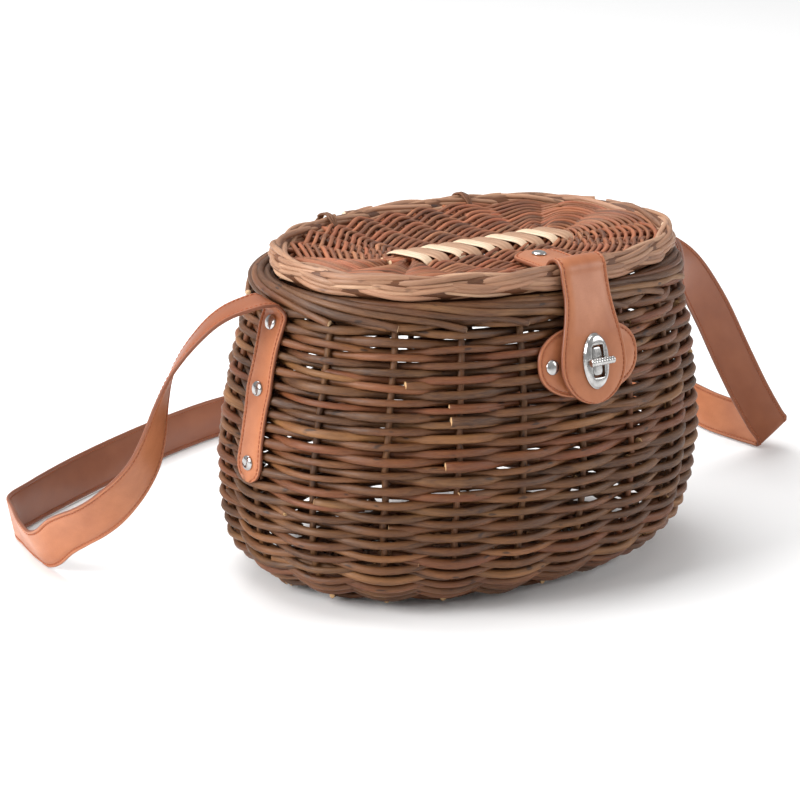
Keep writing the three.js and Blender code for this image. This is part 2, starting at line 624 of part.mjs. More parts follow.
// Base plate under the tab, with the block that stands in the slot and holds the knob's stem
function lockBaseGeometry() {
  const sheet = loft([sheetBottom, sheetBottom + LOCK_SHEET].map((height) =>
    Array.from({ length: PLATE_STEPS }, (_, i) => {
      const u = (2 * Math.PI * i) / PLATE_STEPS;
      const [x, y] = ellipseAt(u, PLATE_HALF_WIDTH - 1, PLATE_HALF_HEIGHT - 1);
      return new THREE.Vector3(x, y, height);
    })));
  const blockTop = plateTop - PLATE_DOME / 2;
  const block = new THREE.BoxGeometry(
    2 * (SLOT_HALF_WIDTH - 4 * HOLE_GAP),
    2 * (SLOT_HALF_HEIGHT - 4 * HOLE_GAP),
    blockTop - sheetBottom,
  ).translate(0, 0, (blockTop + sheetBottom) / 2);
  const bore = new THREE.CylinderGeometry(
    KNOB_STEM + KNOB_RUNNING_GAP, KNOB_STEM + KNOB_RUNNING_GAP, blockTop, ROUND_STEPS * 2);
  bore.rotateX(Math.PI / 2).translate(0, 0, sheetBottom + LOCK_SHEET + blockTop / 2);
  return cut(fuse(sheet, [block]), [bore]);
}

// Ribbed barrel on a stem
function knobGeometry() {
  const profile = [[0, -KNOB_HALF_LENGTH]];
  for (let i = 0; i < KNOB_RIBS; i += 1) {
    const start = -KNOB_HALF_LENGTH + (2 * KNOB_HALF_LENGTH * i) / KNOB_RIBS;
    const rib = (2 * KNOB_HALF_LENGTH) / KNOB_RIBS;
    profile.push([KNOB_RADIUS * 0.8, start], [KNOB_RADIUS, start + rib * 0.3]);
    profile.push([KNOB_RADIUS, start + rib * 0.7]);
  }
  profile.push([KNOB_RADIUS * 0.8, KNOB_HALF_LENGTH], [0, KNOB_HALF_LENGTH]);
  const barrel = new THREE.LatheGeometry(
    profile.map(([radius, place]) => new THREE.Vector2(radius, place)), ROUND_STEPS);
  barrel.rotateZ(Math.PI / 2).translate(0, 0, knobHeight);
  const foot = sheetBottom + LOCK_SHEET + GAP;
  const stem = new THREE.CylinderGeometry(KNOB_STEM, KNOB_STEM, knobHeight - foot, ROUND_STEPS * 2);
  stem.rotateX(Math.PI / 2).translate(0, 0, (knobHeight + foot) / 2);
  return fuse(barrel, [stem]);
}

const lock = new THREE.Group();
lock.applyMatrix4(lockFrame);
lock.add(piece('lock_plate', plateGeometry(), chrome));
lock.add(piece('lock_base', lockBaseGeometry(), chrome));
lock.add(piece('turn_knob', knobGeometry(), chrome));
creel.add(lock);

// Closing tab: from the lid, over the border and the rim, down to the lock. The path lies in
// the plane X = LOCK_X and leans sideways above the lock.
function tabPath() {
  const over = GAP + LEATHER / 2;
  const flat = panelTop + over;
  const points = [0, 0.3, 0.6, 0.9, 1].map((share) => new THREE.Vector3(
    LOCK_X, THREE.MathUtils.lerp(TAB_ON_LID, TAB_RISE_BACK, share) - borderInner, flat));
  points.push(new THREE.Vector3(LOCK_X, TAB_RISE_BACK - borderInner - 1.6, flat + 0.8));
  const borderY = TAB_EASE / 2 - borderWidth - LID_FORWARD;
  for (let degrees = 42; degrees <= 172; degrees += 26) {
    const angle = THREE.MathUtils.degToRad(degrees);
    points.push(new THREE.Vector3(
      LOCK_X,
      borderY + (BORDER_HALF_WIDTH + over + TAB_EASE) * Math.cos(angle),
      lidHeight + (BORDER_HALF_HEIGHT + over + TAB_EASE / 2) * Math.sin(angle),
    ));
  }
  points.push(new THREE.Vector3(LOCK_X, -rimHalfWidth - over - GAP, rimHeight + 2));
  [19, 12, 4, -4, -12, -18, -TAB_BELOW_LOCK].forEach((up) => {
    points.push(new THREE.Vector3(0, up, tabBottom + LEATHER / 2).applyMatrix4(lockFrame));
  });
  return new THREE.CatmullRomCurve3(points, false, 'centripetal');
}

function tabStations() {
  const path = tabPath();
  const steps = 46;
  const length = path.getLength();
  const shares = Array.from({ length: steps + 1 }, (_, i) => i / steps);
  const ends = [0.004, 0.012, 0.035];
  const all = [...ends, ...shares.slice(1, steps), ...ends.map((share) => 1 - share)];
  all.sort((a, b) => a - b);
  return all.map((share) => {
    const middle = path.getPointAt(share);
    const below = THREE.MathUtils.smoothstep(RIM_TOP - middle.z, 0, RIM_TOP - lockHeight);
    const body = middle.y < -rimHalfWidth
      ? THREE.MathUtils.lerp(TAB_NECK, TAB_HEAD, below) : TAB_NECK;
    const start = roundedHalf(share * length, 1, TAB_NECK * 0.6);
    const end = roundedHalf((1 - share) * length, 1, TAB_HEAD * 0.95);
    const aboveLock = (1 - share) * length - TAB_BELOW_LOCK - PLATE_HALF_HEIGHT;
    middle.x += TAB_LEAN * Math.max(aboveLock, 0);
    return { middle, across: ALONG, half: body * start * end };
  });
}

const stations = tabStations();

// Rivets through the tab and the lid's panel, on the tab's middle line
TAB_RIVETS_BACK.forEach((back, i) => {
  const y = back - borderInner;
  const after = stations.findIndex((station) => station.middle.y <= y);
  const [from, to] = [stations[after - 1].middle, stations[after].middle];
  const x = THREE.MathUtils.mapLinear(y, from.y, to.y, from.x, to.x);
  const frame = standOn(new THREE.Vector3(x, y, panelTop), UP);
  const rivet = piece(
    `tab_rivet_${i + 1}`, rivetGeometry(LEATHER + GAP, PANEL_THICKNESS), chrome);
  rivet.applyMatrix4(frame);
  creel.add(rivet);
  panelCuts.push(rivetHole(frame, PANEL_THICKNESS));
  tabCuts.push(rivetHole(frame, PANEL_THICKNESS));
});
creel.add(piece('lid_panel', cut(loft(panelRings), panelCuts), lidWillow));

const slotCut = new THREE.BoxGeometry(
  2 * SLOT_HALF_WIDTH, 2 * SLOT_HALF_HEIGHT, 4 * LEATHER);
slotCut.translate(0, 0, tabBottom + LEATHER / 2);
tabCuts.push(slotCut.applyMatrix4(lockFrame));
creel.add(piece('closure_tab', cut(ribbon(stations, LEATHER), tabCuts), leather));

export default creel;
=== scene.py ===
import json
import math

import bpy
import numpy as np
from mathutils import Matrix, Vector


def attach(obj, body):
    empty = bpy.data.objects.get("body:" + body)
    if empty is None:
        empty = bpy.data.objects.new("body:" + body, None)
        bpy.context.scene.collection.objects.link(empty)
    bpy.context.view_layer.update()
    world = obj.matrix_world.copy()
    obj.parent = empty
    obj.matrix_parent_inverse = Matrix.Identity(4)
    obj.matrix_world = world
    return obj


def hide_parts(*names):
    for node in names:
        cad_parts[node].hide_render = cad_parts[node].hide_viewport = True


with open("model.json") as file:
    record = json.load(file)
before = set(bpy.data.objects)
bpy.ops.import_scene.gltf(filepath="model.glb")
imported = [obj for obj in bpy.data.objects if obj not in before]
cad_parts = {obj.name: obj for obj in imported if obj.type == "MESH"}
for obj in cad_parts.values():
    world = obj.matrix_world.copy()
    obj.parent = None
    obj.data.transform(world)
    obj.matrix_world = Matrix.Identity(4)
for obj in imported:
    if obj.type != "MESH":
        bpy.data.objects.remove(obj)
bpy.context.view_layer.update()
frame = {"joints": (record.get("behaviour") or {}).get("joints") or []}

# ---------------------------------------------------------------- view
# The creel stands on a plain pale floor in soft studio light, seen from its front left corner
# and a little above the lid. Nothing in this section belongs to the bag.
CAMERA_PLACE = (-1.405389, -1.605056, 0.754128)
HEADING, DIP, ROLL = math.radians(40.0497), math.radians(16.8942), math.radians(2.3951)
LENS, SENSOR = 147.06, 36.0
FLOOR_SIZE, FLOOR_HEIGHT = 14.0, -0.0004
LIGHT_AIM = Vector((0, 0, 0.1))

turn = (Matrix.Rotation(-HEADING, 4, "Z") @ Matrix.Rotation(math.pi / 2 - DIP, 4, "X")
        @ Matrix.Rotation(ROLL, 4, "Z"))
lens = bpy.data.cameras.new("camera")
lens.lens, lens.sensor_width, lens.clip_end = LENS, SENSOR, 50.0
camera = bpy.data.objects.new("camera", lens)
camera.matrix_world = Matrix.Translation(CAMERA_PLACE) @ turn
bpy.context.scene.collection.objects.link(camera)
bpy.context.scene.camera = camera


def new_material(name):
    """An empty node material and its shader, ready for colours and patterns."""
    material = bpy.data.materials.new(name)
    material.use_nodes = True
    return material, material.node_tree, material.node_tree.nodes["Principled BSDF"]


def node(tree, kind, inputs=None, **settings):
    """Adds a node, sets it up and fills its inputs: a socket is linked, a value is typed in."""
    made = tree.nodes.new(kind)
    for key, value in settings.items():
        setattr(made, key, value)
    for key, value in (inputs or {}).items():
        if isinstance(value, bpy.types.NodeSocket):
            tree.links.new(value, made.inputs[key])
        else:
            made.inputs[key].default_value = value
    return made


floor_mesh = bpy.data.meshes.new("floor")
reach = FLOOR_SIZE / 2
corners = ((-reach, -reach), (reach, -reach), (reach, reach), (-reach, reach))
floor_mesh.from_pydata([(x, y, FLOOR_HEIGHT) for x, y in corners], [], [(0, 1, 2, 3)])
floor = bpy.data.objects.new("floor", floor_mesh)
bpy.context.scene.collection.objects.link(floor)
paper, _, paper_shader = new_material("studio_paper")
paper_shader.inputs["Base Color"].default_value = (0.93, 0.93, 0.93, 1)
paper_shader.inputs["Roughness"].default_value = 0.9
paper_shader.inputs["Specular IOR Level"].default_value = 0.1
floor_mesh.materials.append(paper)

world = bpy.data.worlds.new("studio")
bpy.context.scene.world = world
world.use_nodes = True
world.node_tree.nodes["Background"].inputs["Color"].default_value = (1.0, 1.0, 1.0, 1)
world.node_tree.nodes["Background"].inputs["Strength"].default_value = 0.5
for name, place, power, size in (
        ("left", (-2.6, 0.3, 1.4), 92, 1.4), ("right", (2.3, -1.9, 1.5), 34, 1.6),
        ("top", (-0.3, 1.1, 3.0), 70, 2.4)):
    lamp = bpy.data.lights.new(name, "AREA")
    lamp.energy, lamp.size = power, size
    holder = bpy.data.objects.new(name, lamp)
    holder.location = place
    holder.rotation_euler = (LIGHT_AIM - holder.location).to_track_quat("-Z", "Y").to_euler()
    bpy.context.scene.collection.objects.link(holder)
bpy.context.scene.view_settings.view_transform = "Standard"

# ---------------------------------------------------------------- basket wall
# The wall is woven over and under twenty upright stakes, row upon row, with brown willow rods
# that still have their bark. Each rod is tucked in beside a stake where the next one starts,
# and some cut ends show outside.
MM = 0.001
HALF_LENGTH, HALF_WIDTH, RIM_TOP, RIM_RADIUS, GAP = 180.0, 128.0, 211.0, 10.0, 0.35
OVAL_POWER = 2.15
WALL = 8.0
WALL_TOP = RIM_TOP - 2 * RIM_RADIUS - GAP
# height, half length and half width of each row of the belly, as shares
BELLY = np.array([
    [0.0, 0.76, 0.664], [0.042, 0.832, 0.766], [0.11, 0.925, 0.897], [0.22, 0.974, 0.967],
    [0.33, 0.993, 0.991], [0.466, 1.0, 1.0], [0.665, 0.979, 0.972], [0.885, 0.938, 0.92],
    [1.0, 0.908, 0.87]])
STAKES = 20
STAKE_RADIUS = 2.3
WEAVER_RADIUS = 2.72
ROWS, FIRST_ROW, LAST_ROW = 43, 7.0, WALL_TOP + 5.2
MIDDLE_OUT = -5.5  # the middle of the weave, from the basket's outside
SWING = 4.2  # the rods pass the stakes this far in and out of it
UP = (0.0, 0.0, 1.0)
random = np.random.default_rng(41)


def through(knots, rows, at):
    """Cubic through every row, whose slope at a row is the one between its two neighbours."""
    knots, rows, at = np.asarray(knots, float), np.asarray(rows, float), np.asarray(at, float)
    slopes = np.gradient(rows, axis=0) / np.gradient(knots).reshape(-1, *[1] * (rows.ndim - 1))
    i = np.clip(np.searchsorted(knots, at, side="right") - 1, 0, len(knots) - 2)
    span = knots[i + 1] - knots[i]
    s = (at - knots[i]) / span
    shape = s.shape + (1,) * (rows.ndim - 1)
    s, span = s.reshape(shape), span.reshape(shape)
    return ((2 * s ** 3 - 3 * s ** 2 + 1) * rows[i] + (s ** 3 - 2 * s ** 2 + s) * span * slopes[i]
            + (3 * s ** 2 - 2 * s ** 3) * rows[i + 1] + (s ** 3 - s ** 2) * span * slopes[i + 1])


def belly(height):
    """Half length and half width of the basket's outside at each height."""
    inside = np.clip(height, 0, WALL_TOP)
    sizes = through(BELLY[:, 0] * WALL_TOP, BELLY[:, 1:] * (HALF_LENGTH, HALF_WIDTH), inside)
    return sizes[..., 0], sizes[..., 1]


def oval(length, width, angle, out=0.0):
    """Points of an oval, |x / length| ** power + |y / width| ** power = 1, and its normals."""
    cos, sin = np.cos(angle), np.sin(angle)
    x = length * np.sign(cos) * np.abs(cos) ** (2 / OVAL_POWER)
    y = width * np.sign(sin) * np.abs(sin) ** (2 / OVAL_POWER)
    nx = np.sign(x) * np.abs(x / length) ** (OVAL_POWER - 1) / length
    ny = np.sign(y) * np.abs(y / width) ** (OVAL_POWER - 1) / width
    size = np.hypot(nx, ny)
    nx, ny = nx / size, ny / size
    return np.stack([x + out * nx, y + out * ny], -1), np.stack([nx, ny], -1)


def distances(points):
    """Distance of each point of a line from its first one, along the line."""
    steps = np.linalg.norm(np.diff(points, axis=-2), axis=-1)
    return np.insert(np.cumsum(steps, axis=-1), 0, 0, -1)


fine = np.linspace(0, 2 * np.pi, 2881)
fine_shares = distances(oval(HALF_LENGTH, HALF_WIDTH, fine)[0])
fine_shares /= fine_shares[-1]


def angle_at(share):
    """Angle of the oval at a share of its length round, counted from the right end."""
    turns = np.floor(share)
    return 2 * np.pi * turns + np.interp(share - turns, fine_shares, fine)


def wall_point(share, height, out):
    """Point at a distance out of the basket's outside, and the outward normal there."""
    length, width = belly(height)
    place, flat = oval(length, width, angle_at(share))
    step = 0.5
    (length_up, width_up), (length_low, width_low) = belly(height + step), belly(height - step)
    rise = ((length_up - length_low) * np.abs(flat[..., 0])
            + (width_up - width_low) * np.abs(flat[..., 1])) / (2 * step)
    normal = np.concatenate([flat, -rise[..., None]], -1)
    normal /= np.linalg.norm(normal, axis=-1, keepdims=True)
    point = np.concatenate([place, np.broadcast_to(height, place.shape[:-1])[..., None]], -1)
    return point + np.asarray(out)[..., None] * normal, normal


def build(name, points, faces, body, material, attributes=None):
    """Makes a smooth object from points in millimetres. Its place is in its mesh."""
    mesh = bpy.data.meshes.new(name)
    corners = np.concatenate([group.ravel() for group in faces])
    counts = np.concatenate([np.full(len(group), group.shape[1]) for group in faces])
    mesh.vertices.add(len(points))
    mesh.vertices.foreach_set("co", (np.asarray(points) * MM).astype(np.float32).ravel())
    mesh.loops.add(len(corners))
    mesh.loops.foreach_set("vertex_index", corners.astype(np.int32))
    mesh.polygons.add(len(counts))
    starts = np.concatenate([[0], np.cumsum(counts)[:-1]])
    mesh.polygons.foreach_set("loop_start", starts.astype(np.int32))
    for key, values in (attributes or {}).items():
        layer = mesh.attributes.new(key, "FLOAT_VECTOR", "POINT")
        layer.data.foreach_set("vector", np.asarray(values).astype(np.float32).ravel())
    mesh.materials.append(material)
    mesh.polygons.foreach_set("use_smooth", np.full(len(counts), True))
    mesh.update(calc_edges=True)
    mesh.validate()
    made = bpy.data.objects.new(name, mesh)
    bpy.context.scene.collection.objects.link(made)
    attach(made, body)
    return made


def unit(vectors):
    """Vectors of length one."""
    return vectors / np.maximum(np.linalg.norm(vectors, axis=-1, keepdims=True), 1e-9)


def sides_of(rings):
    """Four-sided faces between each ring of point numbers and the next one."""
    low, high = rings[..., :-1, :], rings[..., 1:, :]
    return np.stack([low, np.roll(low, -1, -1), np.roll(high, -1, -1), high], -1).reshape(-1, 4)


def skin(stacks, levels, sides, flip=False):
    """Faces over stacks of closed rings, each end closed on a middle point. The points come
    ring by ring, and after all of them the two middle points of each stack."""
    rings = np.arange(stacks * levels * sides).reshape(stacks, levels, sides)
    ends = stacks * levels * sides + np.arange(2 * stacks).reshape(stacks, 2, 1)
    low, high = rings[:, 0], rings[:, -1]
    first = np.stack(np.broadcast_arrays(np.roll(low, -1, -1), low, ends[:, 0]), -1).reshape(-1, 3)
    last = np.stack(np.broadcast_arrays(high, np.roll(high, -1, -1), ends[:, 1]), -1).reshape(-1, 3)
    if flip:
        return [sides_of(rings)[:, [0, 3, 2, 1]], first[:, [1, 0, 2]], last[:, [1, 0, 2]]]
    return [sides_of(rings), first, last]


def rods(name, paths, normals, radii, body, material, sides=7, flat=1.0):
    """Round rods with cut ends. A ring of sides points goes round each path point, at
    radius * (cos * normal + flat * sin * across); both ends close with a slightly smaller ring
    and a middle point. grain runs along the rod and round it, and rod holds two random numbers
    and 1 on the cut ends."""
    count, steps = paths.shape[:2]
    along = unit(np.gradient(paths, axis=1))
    normals = np.broadcast_to(normals, paths.shape)
    normals = unit(normals - (normals * along).sum(-1, keepdims=True) * along)
    across = np.cross(along, normals)
    radii = np.broadcast_to(radii, (count, steps))
    # the cut ends: one more ring and a middle point at each end
    places = np.concatenate([paths[:, :1] - along[:, :1] * radii[:, :1, None] * 0.12, paths,
                             paths[:, -1:] + along[:, -1:] * radii[:, -1:, None] * 0.12], 1)
    sizes = np.concatenate([radii[:, :1] * 0.88, radii, radii[:, -1:] * 0.88], 1)
    normals = np.concatenate([normals[:, :1], normals, normals[:, -1:]], 1)
    across = np.concatenate([across[:, :1], across, across[:, -1:]], 1)
    angle = 2 * np.pi * np.arange(sides) / sides
    cos, sin = np.cos(angle)[:, None], flat * np.sin(angle)[:, None]
    rings = places[:, :, None] + sizes[:, :, None, None] * (
        cos * normals[:, :, None] + sin * across[:, :, None])
    total = steps + 2
    shift = random.uniform(0, 900, (count, 1))
    grain = np.stack(np.broadcast_arrays(
        (distances(places) + shift)[..., None], sizes[..., None] * np.cos(angle),
        sizes[..., None] * np.sin(angle)), -1) * MM
    tint = np.zeros((count, total, sides, 3))
    tint[..., 0] = random.uniform(0, 1, (count, 1, 1))
    tint[..., 1] = random.uniform(0, 1, (count, 1, 1))
    tint[:, [0, -1], :, 2] = 1
    points = np.concatenate([rings.reshape(-1, 3), places[:, [0, -1]].reshape(-1, 3)])
    grain = np.concatenate([grain.reshape(-1, 3), grain[:, [0, -1], 0].reshape(-1, 3) * (1, 0, 0)])
    tint = np.concatenate([tint.reshape(-1, 3), tint[:, [0, -1], 0].reshape(-1, 3)])
    return build(name, points, skin(count, total, sides), body, material,
                 {"grain": grain, "rod": tint})


def wander(count, steps, size, waves=5):
    """Slow irregular waves: the sum of sines with random phases, from -size to size or so."""
    place = np.linspace(0, 2 * np.pi, steps)
    phase = random.uniform(0, 2 * np.pi, (count, waves, 1))
    pace = random.uniform(0.7, 6, (count, waves, 1))
    return size * np.sin(pace * place + phase).sum(1) / math.sqrt(waves)


def new_group(name, takes, gives):
    """A shader node group with named inputs and outputs."""
    group = bpy.data.node_groups.new(name, "ShaderNodeTree")
    for label, kind, value in takes:
        socket = group.interface.new_socket(label, in_out="INPUT", socket_type=kind)
        if value is not None:
            socket.default_value = value
    for label, kind in gives:
        group.interface.new_socket(label, in_out="OUTPUT", socket_type=kind)
    return (group, group.nodes.new("NodeGroupInput").outputs,
            group.nodes.new("NodeGroupOutput").inputs)


def attribute(tree, name):
    """A vector stored on the mesh's points."""
    return node(tree, "ShaderNodeAttribute", attribute_name=name).outputs["Vector"]


def split(tree, vector):
    """The three numbers of a vector."""
    return node(tree, "ShaderNodeSeparateXYZ", {0: vector}).outputs


# Willow: each rod has a tone of its own between four colours, streaks run along its grain,
# patches of another tint and a few dark knots lie on it, and its cut ends are pale.
willow, taken, given = new_group("willow_rods", [
    ("Dark", "NodeSocketColor", (0, 0, 0, 1)), ("Middle", "NodeSocketColor", (0, 0, 0, 1)),
    ("Warm", "NodeSocketColor", (0, 0, 0, 1)), ("Pale", "NodeSocketColor", (1, 1, 1, 1)),
    ("Pith", "NodeSocketColor", (1, 1, 1, 1)), ("Streaks", "NodeSocketFloat", 0.5),
    ("Patches", "NodeSocketFloat", 0.5), ("Knots", "NodeSocketFloat", 0.5),
], [("Color", "NodeSocketColor"), ("Roughness", "NodeSocketFloat"), ("Height", "NodeSocketFloat")])
grain, rod = attribute(willow, "grain"), split(willow, attribute(willow, "rod"))


def noise(tree, vector, stretch, detail=3.0, low=0.35, high=0.65):
    """Noise on a stretched vector, spread from 0 to 1 between two of its values."""
    spread = node(tree, "ShaderNodeVectorMath", {0: vector, 1: stretch}, operation="MULTIPLY")
    made = node(tree, "ShaderNodeTexNoise", {"Vector": spread.outputs[0], "Scale": 1.0,
                                             "Detail": detail, "Roughness": 0.6})
    return node(tree, "ShaderNodeMapRange", {"Value": made.outputs[0], 1: low, 2: high}).outputs[0]


def mix(tree, factor, first, second):
    """Colour between two colours."""
    return node(tree, "ShaderNodeMix", {0: factor, 6: first, 7: second},
                data_type="RGBA", clamp_factor=True).outputs[2]


def math_node(tree, operation, first, second=0.0):
    """One sum of two values, kept between 0 and 1."""
    return node(tree, "ShaderNodeMath", {0: first, 1: second},
                operation=operation, use_clamp=True).outputs[0]


def step_node(tree, value, low, high, start=0.0, end=1.0):
    """A smooth rise from start to end while the value goes from low to high."""
    return node(tree, "ShaderNodeMapRange", {"Value": value, 1: low, 2: high, 3: start, 4: end},
                interpolation_type="SMOOTHSTEP").outputs[0]


streaks = noise(willow, grain, (45, 900, 900), 4.0)
fine_streaks = noise(willow, grain, (160, 2600, 2600), 3.0)
patches = noise(willow, grain, (16, 70, 70), 3.0, 0.42, 0.62)
shade = noise(willow, grain, (28, 140, 140), 3.0, 0.3, 0.7)
knots = noise(willow, grain, (75, 260, 260), 1.0, 0.68, 0.74)
tone = mix(willow, step_node(willow, rod[0], 0.0, 0.45), taken["Dark"], taken["Middle"])
tone = mix(willow, step_node(willow, rod[0], 0.5, 0.8), tone, taken["Warm"])
tone = mix(willow, step_node(willow, rod[0], 0.84, 1.0), tone, taken["Pale"])
tone = mix(willow, math_node(willow, "MULTIPLY", patches, taken["Patches"]), tone,
           mix(willow, rod[1], taken["Pale"], taken["Warm"]))
tone = mix(willow, math_node(willow, "MULTIPLY", shade, taken["Streaks"]), tone, taken["Dark"])
tone = mix(willow, math_node(willow, "MULTIPLY", streaks,
                             math_node(willow, "MULTIPLY", taken["Streaks"], 0.7)),
           tone, mix(willow, rod[1], taken["Dark"], taken["Middle"]))
tone = mix(willow, math_node(willow, "MULTIPLY", fine_streaks,
                             math_node(willow, "MULTIPLY", taken["Streaks"], 0.35)),
           tone, taken["Pale"])
tone = mix(willow, math_node(willow, "MULTIPLY", knots, taken["Knots"]), tone,
           mix(willow, 0.5, taken["Dark"], (0.01, 0.006, 0.004, 1)))
willow.links.new(mix(willow, step_node(willow, rod[2], 0.35, 0.7), tone, taken["Pith"]),
                 given["Color"])
willow.links.new(step_node(willow, math_node(willow, "ADD", streaks, rod[2]), 0.0, 1.0, 0.42, 0.62),
                 given["Roughness"])
height_mix = math_node(willow, "MULTIPLY", math_node(willow, "ADD", streaks, fine_streaks), 0.5)
willow.links.new(math_node(willow, "ADD", height_mix, math_node(willow, "MULTIPLY", knots, 0.6)),
                 given["Height"])


def roughen(tree, shader, height, strength, distance):
    """A fine bump of a strength and a depth on the shader."""
    raised = node(tree, "ShaderNodeBump",
                  {"Height": height, "Strength": strength, "Distance": distance})
    tree.links.new(raised.outputs[0], shader.inputs["Normal"])


def willow_material(name, dark, middle, warm, pale, pith, streaks=0.5, patches=0.5, knots=0.6,
                    bump=0.35):
    """A willow finish: the group with its own colours, and a fine bump along the grain."""
    material, tree, shader = new_material(name)
    made = node(tree, "ShaderNodeGroup", node_tree=willow)
    for key, value in (("Dark", dark), ("Middle", middle), ("Warm", warm), ("Pale", pale),
                       ("Pith", pith)):
        made.inputs[key].default_value = (*value, 1)
    for key, value in (("Streaks", streaks), ("Patches", patches), ("Knots", knots)):
        made.inputs[key].default_value = value
    tree.links.new(made.outputs["Color"], shader.inputs["Base Color"])
    tree.links.new(made.outputs["Roughness"], shader.inputs["Roughness"])
    roughen(tree, shader, made.outputs["Height"], bump, 0.0004)
    shader.inputs["Specular IOR Level"].default_value = 0.45
    return material


brown_bark = willow_material(
    "brown_willow_bark", (0.03, 0.009, 0.004), (0.105, 0.035, 0.01), (0.18, 0.04, 0.013),
    (0.36, 0.17, 0.056), (0.62, 0.38, 0.18), 0.6, 0.6, 0.75, 0.55)

# profile of the wall, and the height of each row at an even distance along it
profile = np.linspace(0, WALL_TOP + RIM_RADIUS, 420)
profile_out = np.mean(belly(profile), axis=0)
profile_run = distances(np.stack([profile, profile_out], -1))
row_run = np.linspace(*np.interp((FIRST_ROW, LAST_ROW), profile, profile_run), ROWS)
row_heights = np.interp(row_run, profile_run, profile)

PER_ROW, STATIONS, OVERLAP = 2, 84, 0.045
row = np.repeat(np.arange(ROWS), PER_ROW)
start = np.repeat(random.uniform(0, 1, ROWS), PER_ROW) + np.tile(np.arange(PER_ROW) / PER_ROW, ROWS)
start = (np.round(start * STAKES) + random.uniform(-0.22, 0.22, len(row))) / STAKES
reach = 1 / PER_ROW + OVERLAP * random.uniform(0.6, 1.3, len(row))
s = np.linspace(0, 1, STATIONS)
share = start[:, None] + reach[:, None] * s
swing = SWING * np.cos(np.pi * STAKES * share) * np.where(row % 2, -1, 1)[:, None]
end_lift = np.exp(-(s / 0.06) ** 2) - np.exp(-((1 - s) / 0.06) ** 2)
heights = (row_heights[row][:, None] + wander(len(row), STATIONS, 0.5)
           + end_lift * 1.3 + random.normal(0, 0.12, (len(row), 1)))
tuck = random.uniform(-5.5, 1.5, (len(row), 2))
outs = (MIDDLE_OUT + swing + wander(len(row), STATIONS, 0.25)
        + tuck[:, :1] * np.exp(-(s / 0.035) ** 2) + tuck[:, 1:] * np.exp(-((1 - s) / 0.035) ** 2))
outs = np.minimum(outs, -0.4)
paths, outward = wall_point(share, heights, outs)
thick = random.uniform(0.86, 1.14, (len(row), 1))
radii = WEAVER_RADIUS * thick * (1.12 - 0.26 * s) * (1 + wander(len(row), STATIONS, 0.035, 7))
knot_at = random.uniform(0, 1, (len(row), 4))
bulge = np.exp(-((s[None, None] - knot_at[..., None]) / 0.006) ** 2).sum(1)
weave = rods("wall_weave", paths, outward, radii * (1 + 0.13 * bulge), "basket", brown_bark)
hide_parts("basket_body")

stake_share = np.arange(STAKES) / STAKES
stake_heights = np.linspace(3.5, WALL_TOP + 3, 46)
share = stake_share[:, None] + random.normal(0, 0.0013, (STAKES, 1)) + wander(STAKES, 46, 0.0005)
paths, outward = wall_point(share, np.broadcast_to(stake_heights, (STAKES, 46)),
                            np.full((STAKES, 46), MIDDLE_OUT))
rods("wall_stakes", paths, outward, STAKE_RADIUS, "basket", brown_bark, 8)

# ---------------------------------------------------------------- basket bottom
# The bottom is a flat oval woven on crossed sticks, in rings one inside the other. It is
# started first on the real basket, and the stakes are pushed in beside its sticks.
BASE_ROWS = 17
BASE_HEIGHT = 4.6
BASE_RADIUS, BASE_STICK_RADIUS = 1.9, 2.2
base_share = np.linspace(0, 1.01, 150)
ring = np.arange(BASE_ROWS)[:, None]
inward = -5.4 * ring - 2
place, flat = oval(0.76 * HALF_LENGTH + inward, 0.664 * HALF_WIDTH + inward * 0.86,
                   angle_at(base_share)[None] + 0 * ring)
height = BASE_HEIGHT + 2.0 * np.cos(np.pi * STAKES * base_share) * np.where(ring % 2, -1, 1)
rods("base_weave", np.concatenate([place, height[..., None]], -1), UP, BASE_RADIUS, "basket",
     brown_bark, 6)
outer = oval(0.80 * HALF_LENGTH, 0.70 * HALF_WIDTH, angle_at(stake_share))[0]
inner = outer * np.array([0.46, 0.03])
stick = np.linspace(0, 1, 12)[None, :, None]
stick = outer[:, None] + (inner - outer)[:, None] * stick
rods("base_sticks", np.concatenate([stick, np.full((STAKES, 12, 1), BASE_HEIGHT)], -1), UP,
     BASE_STICK_RADIUS, "basket", brown_bark)
spine_x = np.linspace(-0.42, 0.42, 24) * HALF_LENGTH
spine_y = np.array([[-4.5], [0], [4.5]])
rods("base_spine", np.stack(np.broadcast_arrays(spine_x, spine_y, BASE_HEIGHT), -1), UP,
     BASE_STICK_RADIUS, "basket", brown_bark)

# ---------------------------------------------------------------- basket rim
# The stakes are bent down over the top of the wall, laid round it side by side as a thick
# roll, and cut off outside, where their pale ends show under the roll.
RIM_LENGTH = 0.908 * HALF_LENGTH + 0.56 - RIM_RADIUS
RIM_WIDTH = 0.87 * HALF_WIDTH + 1.14 - RIM_RADIUS
RIM_HEIGHT = RIM_TOP - RIM_RADIUS
RIM_RODS, RIM_SPAN, RIM_STATIONS = 20, 8.0, 90
rim_bark = willow_material(
    "rim_willow_bark", (0.026, 0.008, 0.004), (0.085, 0.031, 0.011), (0.14, 0.04, 0.015),
    (0.33, 0.165, 0.065), (0.72, 0.48, 0.27), 0.55, 0.65, 0.75, 0.5)
s = np.linspace(0, 1, RIM_STATIONS)
first = np.arange(RIM_RODS)[:, None] / RIM_RODS
share = first + RIM_SPAN / RIM_RODS * s
angle = np.radians(250 - 278 * s + wander(RIM_RODS, RIM_STATIONS, 5.0))
spread = 7.0 + wander(RIM_RODS, RIM_STATIONS, 0.4)
drop = np.clip((s - 0.93) / 0.07, 0, 1) ** 1.5
out = spread * np.cos(angle) + drop * 3.2
place, flat = oval(RIM_LENGTH, RIM_WIDTH, angle_at(share), out)
